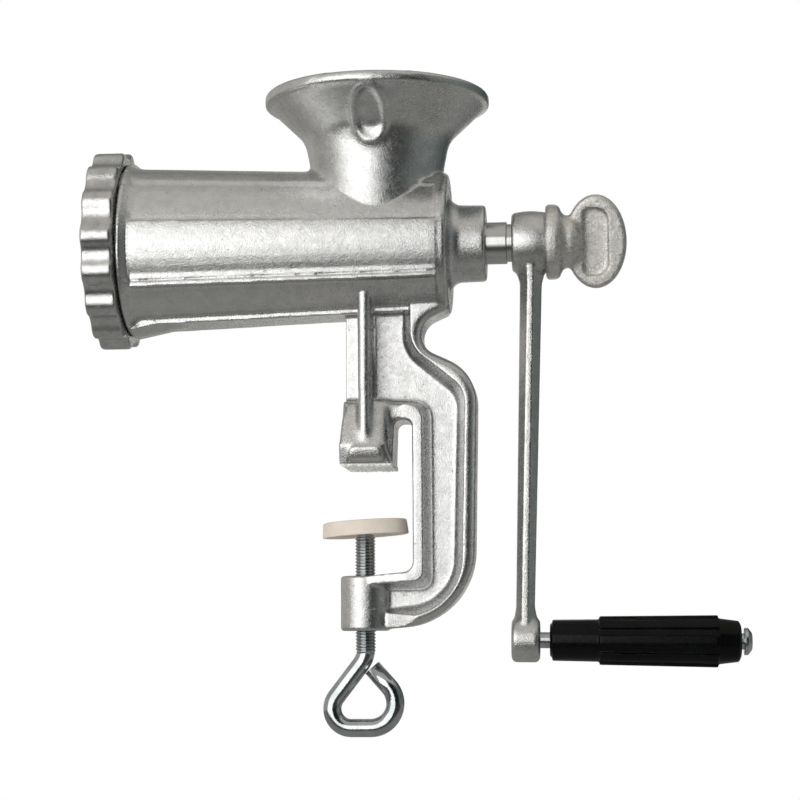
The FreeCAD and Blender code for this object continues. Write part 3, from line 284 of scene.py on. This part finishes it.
def cast_metal(name, dark, light, roughness, grain, warmth=0.0):
    """Rough tinned or bare casting: faintly mottled grey, sandy grain, shallow waves, worn edges, and
    painted shade that darkens its inside corners.
    """
    material, tree, shader, place = new_material(name)
    shader.inputs["Metallic"].default_value = 1.0
    mottle = rising(tree, noise_value(tree, place, 240.0, 5.0, 0.6), 0.32, 0.68)
    sand = noise_value(tree, place, 1500.0, 3.0, 0.7)
    waves = noise_value(tree, place, 210.0, 2.0, 0.45)
    patches = noise_value(tree, place, 320.0, 3.0, 0.6)
    pits = rising(tree, noise_value(tree, place, 520.0, 1.0, 0.4), 0.73, 0.80)
    edge = add(tree, "ShaderNodeAttribute", attribute_name=EDGE_LAYER).outputs["Fac"]
    worn = rising(tree, edge, 0.04, 0.22)
    # Painted shade: points that lie in inside corners (edge below 0) are darkened towards the dark grey,
    # as if shade fell there.
    painted_corner_shade = falling(tree, edge, -0.20, -0.04)
    colour = mix_colours(tree, mottle, grey(dark, warmth), grey(light, warmth))
    colour = mix_colours(tree, times(tree, worn, 0.4), colour, grey(light * 1.14, warmth))
    # Darkens the colour with the painted corner shade and with the real casting pits.
    shade = math_node(tree, "MAXIMUM", times(tree, painted_corner_shade, 0.35), times(tree, pits, 0.4))
    colour = mix_colours(tree, shade, colour, grey(dark * 0.55, warmth))
    rough = remap(tree, patches, 0.3, 0.7, roughness - 0.05, roughness + 0.06)
    rough = math_node(tree, "SUBTRACT", rough, times(tree, worn, 0.06))
    normal = bump(tree, waves, 0.07 * MM)
    normal = bump(tree, sand, grain * MM, below=normal)
    normal = bump(tree, math_node(tree, "SUBTRACT", 1.0, pits), 0.10 * MM, below=normal)
    wire(tree, shader, Base_Color=colour, Roughness=rough, Normal=normal)
    return material


def rough_seat(material):
    """Leaves the jaw's seat of a casting raw: dull, grainy and not metallic, and painted near white as a
    painted reflection of the white surroundings below it.
    """
    tree, shader, place = parts_of(material)
    across, _, height = coordinates(tree, place)
    under = falling(tree, math_node(tree, "ABSOLUTE", height), 0.8 * MM, 1.6 * MM)
    raw = times(tree, under, math_node(tree, "LESS_THAN", across, SEAT_END_X))
    specks = rising(tree, noise_value(tree, place, 900.0, 2.0, 0.6), 0.36, 0.56)
    # Painted reflection: a speckled near-white colour stands in for the white surroundings that the seat
    # mirrors at a grazing angle. The specks are its grain.
    painted_white_reflection = mix_colours(tree, specks, grey(0.55), grey(1.0))
    colour = mix_colours(tree, raw, source_of(shader, "Base Color"), painted_white_reflection)
    rough = mix_values(tree, raw, source_of(shader, "Roughness"), 0.7)
    wire(tree, shader, Base_Color=colour, Roughness=rough, Metallic=falling(tree, raw, 0.0, 1.0))
    return material


def turned_metal(name, dark, light, roughness, axis, centre):
    """Machined steel with fine turning lines round an axis and a few stains."""
    material, tree, shader, place = new_material(name)
    shader.inputs["Metallic"].default_value = 1.0
    parts = coordinates(tree, place)
    squares = []
    for side in range(3):
        if side != axis:
            offset = math_node(tree, "SUBTRACT", parts[side], centre[side])
            squares.append(times(tree, offset, offset))
    radius = math_node(tree, "SQRT", math_node(tree, "ADD", *squares))
    ring_place = add(tree, "ShaderNodeCombineXYZ", {0: radius, 1: parts[axis]}).outputs[0]
    lines = noise_value(tree, ring_place, 2600.0, 2.0, 0.6)
    stains = rising(tree, noise_value(tree, place, 160.0, 4.0, 0.6), 0.3, 0.7)
    colour = mix_colours(tree, stains, grey(dark, 0.01), grey(light))
    rough = remap(tree, lines, 0.3, 0.7, roughness - 0.05, roughness + 0.08)
    wire(tree, shader, Base_Color=colour, Roughness=rough, Normal=bump(tree, lines, 0.02 * MM))
    return material


def worm_metal(name):
    """Feed screw: cast flights, and a bright turned shaft beyond the rear wall."""
    material = cast_metal(name, dark=0.52, light=0.64, roughness=0.36, grain=0.10, warmth=0.012)
    tree, shader, place = parts_of(material)
    along = coordinates(tree, place)[0]
    shaft = math_node(tree, "GREATER_THAN", along, SHAFT_START_X)
    line_place = add(tree, "ShaderNodeCombineXYZ", {0: along}).outputs[0]
    lines = noise_value(tree, line_place, 2400.0, 2.0, 0.6)
    turned_rough = remap(tree, lines, 0.3, 0.7, 0.14, 0.25)
    turned_normal = bump(tree, lines, 0.015 * MM)
    colour = mix_colours(tree, shaft, source_of(shader, "Base Color"), grey(0.58, 0.004))
    rough = mix_values(tree, shaft, source_of(shader, "Roughness"), turned_rough)
    normal = mix_normals(tree, shaft, source_of(shader, "Normal"), turned_normal)
    wire(tree, shader, Base_Color=colour, Roughness=rough, Normal=normal)
    return material


def zinc_plate(name):
    """Bright zinc on drawn rod: faintly blue, with soft drawing marks."""
    material, tree, shader, place = new_material(name)
    shader.inputs["Metallic"].default_value = 1.0
    clouds = rising(tree, noise_value(tree, place, 150.0, 4.0, 0.6), 0.3, 0.7)
    marks = noise_value(tree, place, 900.0, 3.0, 0.6)
    colour = mix_colours(tree, clouds, (0.42, 0.45, 0.465, 1.0), (0.56, 0.58, 0.59, 1.0))
    rough = remap(tree, marks, 0.3, 0.7, 0.09, 0.19)
    wire(tree, shader, Base_Color=colour, Roughness=rough, Normal=bump(tree, marks, 0.03 * MM))
    return material


def moulded_plastic(name, colour, lighter, roughness, texture, shine):
    """Moulded plastic with a fine satin surface and faint flow clouds."""
    material, tree, shader, place = new_material(name)
    clouds = rising(tree, noise_value(tree, place, 90.0, 4.0, 0.55), 0.3, 0.7)
    fine = noise_value(tree, place, 2400.0, 2.0, 0.5)
    scuffs = noise_value(tree, place, 500.0, 3.0, 0.7)
    shade = mix_colours(tree, clouds, colour, lighter)
    rough = remap(tree, scuffs, 0.35, 0.75, roughness - 0.05, roughness + 0.10)
    shader.inputs["Specular IOR Level"].default_value = shine
    wire(tree, shader, Base_Color=shade, Roughness=rough, Normal=bump(tree, fine, texture * MM))
    return material


# Mesh helpers

def joined_copy(name, nodes):
    """One new object with the meshes of the given nodes, welded."""
    work = bmesh.new()
    for node in nodes:
        work.from_mesh(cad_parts[node].data)
    bmesh.ops.remove_doubles(work, verts=work.verts, dist=WELD_DISTANCE)
    mesh = bpy.data.meshes.new(name)
    work.to_mesh(mesh)
    work.free()
    return link(bpy.data.objects.new(name, mesh))


def with_modifier(obj, kind, **settings):
    """Applies one modifier to the object's mesh."""
    modifier = obj.modifiers.new(kind.lower(), kind)
    for name, value in settings.items():
        setattr(modifier, name, value)
    depsgraph = bpy.context.evaluated_depsgraph_get()
    mesh = bpy.data.meshes.new_from_object(obj.evaluated_get(depsgraph))
    obj.modifiers.clear()
    old = obj.data
    obj.data = mesh
    bpy.data.meshes.remove(old)


def triples(collection, field):
    values = np.empty(len(collection) * 3, np.float32)
    collection.foreach_get(field, values)
    return values.reshape(-1, 3).astype(float)


def normals_of(mesh):
    return triples(mesh.vertex_normals, "vector")


def set_places(mesh, places):
    mesh.vertices.foreach_set("co", places.astype(np.float32).ravel())
    mesh.update()


class Relaxer:
    """Moves the points of a mesh towards the middle of their neighbours."""

    STEP = 0.5
    BACK_STEP = 0.52
    NORMALS_EVERY = 8
    EDGE_ROUNDS = 3

    def __init__(self, mesh):
        self.mesh = mesh
        edges = np.empty(len(mesh.edges) * 2, np.int32)
        mesh.edges.foreach_get("vertices", edges)
        self.first, self.second = edges.reshape(-1, 2).T
        self.count = len(mesh.vertices)
        ends = np.bincount(edges, minlength=self.count)
        self.degree = np.maximum(ends, 1)[:, None]
        self.places = triples(mesh.vertices, "co")

    def around(self, values):
        """Sum of a value over each point's neighbours."""
        total = np.bincount(self.first, values[self.second], self.count)
        return total + np.bincount(self.second, values[self.first], self.count)

    def pull(self):
        total = np.empty_like(self.places)
        for axis in range(3):
            total[:, axis] = self.around(self.places[:, axis])
        return total / self.degree - self.places

    def smooth(self, rounds):
        """Evens out the steps of a voxel mesh and keeps its volume."""
        for _ in range(rounds):
            self.places += self.STEP * self.pull()
            self.places -= self.BACK_STEP * self.pull()

    def round_off(self, rounds, weights=1.0):
        """Rounds every edge a little, or only where the weights allow it."""
        share = self.STEP * np.broadcast_to(weights, self.count)[:, None]
        for _ in range(rounds):
            self.places += share * self.pull()

    def fill(self, rounds, allowed):
        """Fills inside corners with a fillet, as a casting has, at the allowed points."""
        for step in range(rounds):
            if step % self.NORMALS_EVERY == 0:
                set_places(self.mesh, self.places)
                normals = normals_of(self.mesh)
            pull = self.pull()
            outward = np.einsum("ij,ij->i", pull, normals)
            self.places += pull * (self.STEP * (outward > 0) * allowed)[:, None]

    def edges(self, spacing):
        """How far each point stands out from its neighbours, evened over a few rounds."""
        set_places(self.mesh, self.places)
        stand = -np.einsum("ij,ij->i", self.pull(), normals_of(self.mesh)) / spacing
        for _ in range(self.EDGE_ROUNDS):
            stand = 0.5 * stand + 0.5 * self.around(stand) / self.degree[:, 0]
        return stand


def shade_smooth(obj):
    obj.data.polygons.foreach_set("use_smooth", [True] * len(obj.data.polygons))
    obj.data.update()


def thinned(obj, most_faces):
    """Fewer faces, with the shading of the full mesh kept in the corners' normals."""
    triangles = 2 * len(obj.data.polygons)
    if triangles <= most_faces:
        return
    full = link(bpy.data.objects.new("full", obj.data.copy()))
    with_modifier(obj, "DECIMATE", ratio=most_faces / triangles)
    shade_smooth(obj)
    with_modifier(obj, "DATA_TRANSFER", object=full, use_loop_data=True,
                  data_types_loops={"CUSTOM_NORMAL"}, loop_mapping="POLYINTERP_NEAREST")
    full_mesh = full.data
    bpy.data.objects.remove(full)
    bpy.data.meshes.remove(full_mesh)


def cast_skin(name, nodes, voxel, smooth_rounds, round_rounds, most_faces, fill_rounds=0,
              allowed=None, rough=None, soften=None, reshape=None):
    """A node's shape as it leaves the mould: edges rounded, inside corners filled, no sharp seams."""
    obj = joined_copy(name, nodes)
    with_modifier(obj, "REMESH", mode="VOXEL", voxel_size=voxel, adaptivity=0.0)
    relaxer = Relaxer(obj.data)
    if reshape is not None:
        relaxer.places = reshape(relaxer.places)
    relaxer.smooth(smooth_rounds)
    relaxer.round_off(round_rounds)
    if soften is not None:
        relaxer.round_off(SOFTEN_ROUNDS, soften(relaxer.places))
    if fill_rounds:
        where = np.ones(relaxer.count) if allowed is None else allowed(relaxer.places)
        relaxer.fill(fill_rounds, where)
    edges = relaxer.edges(voxel)
    if rough is not None:
        set_places(obj.data, rough(relaxer.places, normals_of(obj.data)))
    layer = obj.data.attributes.new(EDGE_LAYER, "FLOAT", "POINT")
    layer.data.foreach_set("value", edges.astype(np.float32))
    shade_smooth(obj)
    thinned(obj, most_faces)
    return obj


def dress(obj, nodes, body, material):
    """Puts a finished piece in the place of its nodes."""
    obj.data.materials.clear()
    obj.data.materials.append(material)
    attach(obj, body)
    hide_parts(*nodes)


def repaint(node, material):
    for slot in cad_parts[node].material_slots:
        slot.material = material


# Pieces

def outside_of_casting(places):
    """How freely inside corners fill: most at the hopper's root, least on the barrel, none in holes."""
    x, y, z = places.T
    from_axis = np.hypot(y, z - BARREL_AXIS_Z)
    bore = (from_axis < BORE_GUARD) & (x < BARREL_END_X)
    shaft_hole = (from_axis < SHAFT_GUARD) & (x > 0)
    nose = (x < NOSE_END_X) & (from_axis < NOSE_GUARD)
    screw_hole = (np.hypot(x, y) < SCREW_GUARD) & (z < SCREW_HOLE_TOP_Z)
    hopper_root = (z > HOPPER_ROOT_Z[0]) & (z < HOPPER_ROOT_Z[1])
    freely = np.where(z < FRAME_TOP_Z, FILL_ON_FRAME, FILL_ON_BARREL)
    freely = np.where(hopper_root, FILL_AT_HOPPER_ROOT, freely)
    return freely * (1.0 - (bore | shaft_hole | nose | screw_hole))


def roughen_casting(places, normals):
    """Shallow waves over the casting, and the coarse sand-cast face of the jaw."""
    moved = places.copy()
    x, _, z = places.T
    seat = (np.abs(z) < SEAT_BAND) & (normals[:, 2] < SEAT_FACING) & (np.abs(x) < SEAT_REACH)
    for i in range(len(places)):
        point = Vector(places[i])
        wave = noise.noise(point * WAVE_SCALE)
        moved[i] += normals[i] * (WAVE_HEIGHT * wave - WAVE_SINK)
        if seat[i]:
            lump = noise.noise(point * LUMP_SCALE) + 0.5 * noise.noise(point * SMALL_LUMP_SCALE)
            moved[i, 2] = z[i] + LUMP_HEIGHT * max(lump + LUMP_SHIFT, 0.0)
    return moved


def foot_draft(places):
    """Leans the foot's two end faces in towards the table, as a pattern needs to leave the sand."""
    x, y, z = places.T
    lean = FOOT_DRAFT * np.clip(1.0 - z / FOOT_HEIGHT, 0.0, 1.0)
    foot = (z > FOOT_LOWEST_Z) & (x < SEAT_END_X)
    share = np.clip((np.abs(y) - DRAFT_START_Y) / DRAFT_RAMP, 0.0, 1.0) * foot
    moved = places.copy()
    moved[:, 1] -= np.sign(y) * lean * share
    return moved


def soft_edges(places):
    """How much edges soften: the jaw's shoulders, less on its toes, and the sides of the top band."""
    x, y, z = places.T
    shoulders = (z > SHOULDER_Z[0]) & (z < SHOULDER_Z[1]) & (x < SEAT_END_X) & (np.abs(y) > SHOULDER_Y)
    jaw = shoulders * np.where(z < TOE_TOP_Z, TOE_SOFTNESS, 1.0)
    turn = np.degrees(np.arctan2(z - BARREL_AXIS_Z, np.abs(y)))
    outside = np.hypot(y, z - BARREL_AXIS_Z) > BORE_GUARD
    band = outside & (np.abs(turn - TOP_BAND_TURN) < TOP_BAND_REACH) & (x < BARREL_END_X)
    return np.maximum(jaw, TOP_BAND_SOFTNESS * band)


def make_casting():
    casting = cast_skin("casting", CASTING_NODES, voxel=0.55 * MM, smooth_rounds=2, round_rounds=1,
                        most_faces=195000, fill_rounds=60, allowed=outside_of_casting,
                        rough=roughen_casting, soften=soft_edges, reshape=foot_draft)
    skin = cast_metal("tinned_casting_skin", dark=0.62, light=0.70, roughness=0.24, grain=0.16)
    dress(casting, CASTING_NODES, "frame", rough_seat(skin))


def outside_of_ring(places):
    """How much the ring is softened: only on its lobes, away from its bore and lip."""
    lobes = np.hypot(places[:, 1], places[:, 2] - BARREL_AXIS_Z) > RING_GUARD
    return lobes * RING_SOFTNESS


def make_ring():
    ring = cast_skin("ring", ("ring_nut",), voxel=0.5 * MM, smooth_rounds=3, round_rounds=2,
                     most_faces=120000, soften=outside_of_ring)
    skin = cast_metal("tinned_ring_skin", dark=0.52, light=0.63, roughness=0.19, grain=0.12)
    dress(ring, ("ring_nut",), "ring", skin)


def make_crank():
    crank = cast_skin("crank", ("crank_arm",), voxel=0.5 * MM, smooth_rounds=3, round_rounds=3,
                      most_faces=110000, fill_rounds=50)
    skin = cast_metal("tinned_crank_skin", dark=0.58, light=0.69, roughness=0.26, grain=0.15,
                      warmth=0.005)
    dress(crank, ("crank_arm",), "crank", skin)


def make_thumb():
    thumb = cast_skin("thumb", ("thumb_screw",), voxel=0.45 * MM, smooth_rounds=3, round_rounds=3,
                      most_faces=110000, fill_rounds=40)
    skin = cast_metal("pale_casting_skin", dark=0.70, light=0.84, roughness=0.24, grain=0.36,
                      warmth=0.025)
    dress(thumb, ("thumb_screw",), "thumb", skin)


def make_grip():
    grip = cast_skin("grip", ("grip_handle",), voxel=0.4 * MM, smooth_rounds=2, round_rounds=1,
                     most_faces=110000)
    skin = moulded_plastic("black_plastic_skin", colour=grey(0.0015), lighter=(0.003, 0.0032, 0.004, 1.0),
                           roughness=0.20, texture=0.008, shine=0.14)
    dress(grip, ("grip_handle",), "grip", skin)


def make_pad():
    pad = cast_skin("pad", ("clamp_pad",), voxel=0.4 * MM, smooth_rounds=3, round_rounds=1,
                    most_faces=90000)
    skin = moulded_plastic("beige_plastic_skin", colour=(0.72, 0.625, 0.55, 1.0),
                           lighter=(0.78, 0.695, 0.63, 1.0), roughness=0.48, texture=0.03, shine=0.4)
    dress(pad, ("clamp_pad",), "pad", skin)


def thread_mesh(work):
    """Closed helical thread between the loop and the pad, added to a bmesh."""
    turns = (THREAD_TOP_Z - THREAD_BOTTOM_Z) / THREAD_PITCH
    rows = int(turns * THREAD_ROWS_PER_TURN)
    grid = []
    for row in range(rows + 1):
        z = THREAD_BOTTOM_Z + (THREAD_TOP_Z - THREAD_BOTTOM_Z) * row / rows
        run_in = THREAD_FIRST_SHARE + (z - THREAD_BOTTOM_Z) / (2 * THREAD_PITCH)
        taper = min(1.0, (THREAD_TOP_Z - z) / THREAD_PITCH, run_in)
        ring = []
        for k in range(THREAD_POINTS_AROUND):
            turn = k / THREAD_POINTS_AROUND
            phase = (z / THREAD_PITCH - turn) % 1.0
            rise = min(1.0, THREAD_FLANK * (1.0 - abs(2 * phase - 1.0)))
            radius = THREAD_RADIUS - THREAD_DEPTH * (1.0 - rise * taper)
            angle = 2 * math.pi * turn
            ring.append(work.verts.new((radius * math.cos(angle), radius * math.sin(angle), z)))
        grid.append(ring)
    for low, high in zip(grid, grid[1:]):
        for k in range(THREAD_POINTS_AROUND):
            n = (k + 1) % THREAD_POINTS_AROUND
            work.faces.new((low[k], low[n], high[n], high[k]))
    work.faces.new(list(reversed(grid[0])))
    work.faces.new(grid[-1])


def keep_side(mesh, height, below):
    """Part of a mesh below or above a height, closed again where it is cut."""
    work = bmesh.new()
    work.from_mesh(mesh)
    bmesh.ops.remove_doubles(work, verts=work.verts, dist=WELD_DISTANCE)
    geometry = work.verts[:] + work.edges[:] + work.faces[:]
    cut = bmesh.ops.bisect_plane(work, geom=geometry, plane_co=(0, 0, height), plane_no=(0, 0, 1),
                                 clear_outer=below, clear_inner=not below)
    edges = [e for e in cut["geom_cut"] if isinstance(e, bmesh.types.BMEdge)]
    bmesh.ops.contextual_create(work, geom=edges)
    kept = bpy.data.meshes.new("kept")
    work.to_mesh(kept)
    work.free()
    return kept


def make_eye_screw():
    """Eye screw: the bent loop and the peened tip, with a helical thread between them."""
    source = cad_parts["clamp_screw"].data
    work = bmesh.new()
    work.from_mesh(keep_side(source, THREAD_BOTTOM_Z, True))
    work.from_mesh(keep_side(source, THREAD_TOP_Z, False))
    thread_mesh(work)
    bmesh.ops.recalc_face_normals(work, faces=work.faces)
    mesh = bpy.data.meshes.new("eye_screw")
    work.to_mesh(mesh)
    work.free()
    screw = link(bpy.data.objects.new("eye_screw", mesh))
    mesh.shade_smooth()
    mesh.set_sharp_from_angle(angle=math.radians(SCREW_SHARP_ANGLE))
    dress(screw, ("clamp_screw",), "screw", zinc_plate("zinc_screw_skin"))


def paint_nodes():
    """Finishes for the pieces that keep their own shape."""
    steel = turned_metal("ground_steel", dark=0.46, light=0.60, roughness=0.26, axis=0,
                         centre=(0.0, 0.0, BARREL_AXIS_Z))
    for node in ("plate_key_pin", "thrust_washer", "knife_stud", "cutter_knife", "grinding_plate"):
        repaint(node, steel)
    repaint("feed_screw", worm_metal("worm_metal"))
    repaint("grip_pin", zinc_plate("zinc_pin_skin"))
    repaint("pad_washer", turned_metal("zinc_washer", dark=0.50, light=0.66, roughness=0.2, axis=2,
                                       centre=(0.0, 0.0, 0.0)))


# Studio

def plain_mesh(name, points, faces):
    mesh = bpy.data.meshes.new(name)
    mesh.from_pydata(points, [], faces)
    mesh.update()
    return link(bpy.data.objects.new(name, mesh))


def background_ray(tree):
    """1 for rays that see the background: straight from the camera, by reflection or through glass."""
    path = add(tree, "ShaderNodeLightPath").outputs
    seen = math_node(tree, "MAXIMUM", path["Is Camera Ray"], path["Is Glossy Ray"])
    return math_node(tree, "MAXIMUM", seen, path["Is Transmission Ray"])


def glow(tree, colour, strength):
    return add(tree, "ShaderNodeEmission", {"Color": colour, "Strength": strength}).outputs[0]


def set_surface(tree, surface):
    tree.links.new(surface, tree.nodes["Material Output"].inputs["Surface"])


def make_world():
    world = bpy.data.worlds.new("studio")
    world.use_nodes = True
    tree = world.node_tree
    background = tree.nodes["Background"]
    background.inputs["Color"].default_value = WHITE
    strength = remap(tree, background_ray(tree), 0.0, 1.0, WORLD_FILL, 1.0, smooth=False)
    tree.links.new(strength, background.inputs["Strength"])
    bpy.context.scene.world = world


def make_floor():
    """Pale floor that fades to the white of the background far from the object."""
    steps = 96
    ring = []
    for k in range(steps):
        angle = 2 * math.pi * k / steps
        ring.append((FLOOR_RADIUS * math.cos(angle), FLOOR_RADIUS * math.sin(angle), FLOOR_Z))
    floor = plain_mesh("floor", ring, [list(range(steps))])
    material, tree, shader, place = new_material("pale_floor")
    shader.inputs["Base Color"].default_value = FLOOR_COLOUR
    shader.inputs["Roughness"].default_value = FLOOR_ROUGHNESS
    x, y, _ = coordinates(tree, place)
    flat = add(tree, "ShaderNodeCombineXYZ", {0: x, 1: y}).outputs[0]
    away = add(tree, "ShaderNodeVectorMath", {0: flat}, operation="LENGTH").outputs["Value"]
    fade = times(tree, rising(tree, away, *FLOOR_FADE), background_ray(tree))
    inputs = {0: fade, 1: shader.outputs[0], 2: glow(tree, WHITE, 1.0)}
    set_surface(tree, add(tree, "ShaderNodeMixShader", inputs).outputs[0])
    floor.data.materials.append(material)


def tent_mesh():
    columns, rows = 64, 24
    points = []
    for row in range(rows + 1):
        elevation = TENT_LOWEST + (TENT_HIGHEST - TENT_LOWEST) * row / rows
        for column in range(columns + 1):
            out = towards(-180 + 360 * column / columns, elevation)
            points.append(LIGHT_CENTRE + out * TENT_RADIUS)
    faces = []
    for row in range(rows):
        for column in range(columns):
            a = row * (columns + 1) + column
            faces.append((a, a + 1, a + columns + 2, a + columns + 1))
    return plain_mesh("tent", points, faces)


def tent_pattern(tree, place):
    """Brightness of the tent by direction: left, dark flag, right, back wall and top."""
    from_centre = {0: place, 1: tuple(LIGHT_CENTRE)}
    out = add(tree, "ShaderNodeVectorMath", from_centre, operation="SUBTRACT").outputs[0]
    out = add(tree, "ShaderNodeVectorMath", {0: out}, operation="NORMALIZE").outputs[0]
    x, y, z = coordinates(tree, out)
    azimuth = math_node(tree, "ARCTAN2", x, times(tree, y, -1.0))
    degrees = times(tree, azimuth, 180 / math.pi)
    left = remap(tree, degrees, *LEFT_REAR_TURN, LEFT_REAR_SHARE * TENT_LEFT, TENT_LEFT)
    right = remap(tree, degrees, *FLAG_END_TURN, TENT_FLAG, TENT_RIGHT)
    right = times(tree, right, remap(tree, degrees, *RIGHT_REAR_TURN, 1.0, RIGHT_REAR_SHARE))
    level = mix_values(tree, rising(tree, degrees, *FLAG_START_TURN), left, right)
    behind = rising(tree, math_node(tree, "ABSOLUTE", degrees), *BACK_TURN)
    level = mix_values(tree, behind, level, TENT_BACK)
    top = remap(tree, y, *TOP_DEPTH, TENT_TOP, TOP_REAR_SHARE * TENT_TOP)
    return mix_values(tree, rising(tree, z, *TOP_RISE), level, top)


def make_tent():
    """Tent round the object, out of the picture, that metal reflects: grey, dark on the right."""
    tent = tent_mesh()
    material, tree, shader, place = new_material("tent_cloth")
    tree.nodes.remove(shader)
    pattern = tent_pattern(tree, place)
    tint = mix_colours(tree, rising(tree, pattern, *TINT_LEVELS), COOL_CLOTH, WARM_CLOTH)
    diffuse = add(tree, "ShaderNodeLightPath").outputs["Is Diffuse Ray"]
    set_surface(tree, glow(tree, tint, mix_values(tree, diffuse, pattern, TENT_FILL)))
    tent.data.materials.append(material)
    tent.visible_camera = False
    tent.visible_shadow = False


def make_under_card():
    """Card over the floor, out of the picture, that the metal's lower faces reflect: lit far in front."""
    height = FLOOR_Z + CARD_ABOVE_FLOOR
    corners = [(-CARD_HALF, -CARD_HALF, height), (CARD_HALF, -CARD_HALF, height),
               (CARD_HALF, CARD_HALF, height), (-CARD_HALF, CARD_HALF, height)]
    card = plain_mesh("under_card", corners, [(0, 1, 2, 3)])
    material, tree, shader, place = new_material("dark_card")
    tree.nodes.remove(shader)
    across, depth, _ = coordinates(tree, place)
    nearer = remap(tree, depth, *CARD_BELOW_DEPTH, CARD_FRONT, CARD_BELOW)
    far = falling(tree, depth, *CARD_FAR_DEPTH)
    lit = times(tree, far, falling(tree, across, *CARD_LIT_END))
    set_surface(tree, glow(tree, CARD_COLOUR, mix_values(tree, lit, nearer, CARD_FAR)))
    card.data.materials.append(material)
    card.visible_camera = False
    card.visible_diffuse = False
    card.visible_shadow = False


def area_light(name, azimuth, elevation, distance, width, height, brightness):
    data = bpy.data.lights.new(name, "AREA")
    data.shape = "RECTANGLE"
    data.size = width
    data.size_y = height
    data.energy = brightness * math.pi * width * height
    lamp = link(bpy.data.objects.new(name, data))
    out = towards(azimuth, elevation)
    lamp.location = LIGHT_CENTRE + out * distance
    lamp.rotation_euler = (-out).to_track_quat("-Z", "Y").to_euler()


def make_camera():
    """Camera at the photograph's place: a little to the crank's side and below, looking up."""
    back = towards(CAMERA_YAW, -CAMERA_BELOW)
    level = (-back).cross(Vector((0, 0, 1))).normalized()
    upright = level.cross(-back)
    roll = math.radians(CAMERA_ROLL)
    right = math.cos(roll) * level + math.sin(roll) * upright
    up = -math.sin(roll) * level + math.cos(roll) * upright
    data = bpy.data.cameras.new("camera")
    data.sensor_width = SENSOR_WIDTH
    data.lens = SENSOR_WIDTH * FOCAL_PIXELS / PICTURE_SIDE
    camera = link(bpy.data.objects.new("camera", data))
    place = Matrix((right, up, back)).transposed().to_4x4()
    place.translation = CAMERA_TARGET + back * (FOCAL_PIXELS / PIXELS_PER_METRE)
    camera.matrix_world = place
    bpy.context.scene.camera = camera


make_camera()
make_world()
make_floor()
make_tent()
make_under_card()
area_light("softbox", brightness=SOFTBOX_BRIGHTNESS, **SOFTBOX)
bpy.context.scene.view_settings.view_transform = "Standard"

make_casting()
make_ring()
make_crank()
make_thumb()
make_grip()
make_pad()
make_eye_screw()
paint_nodes()
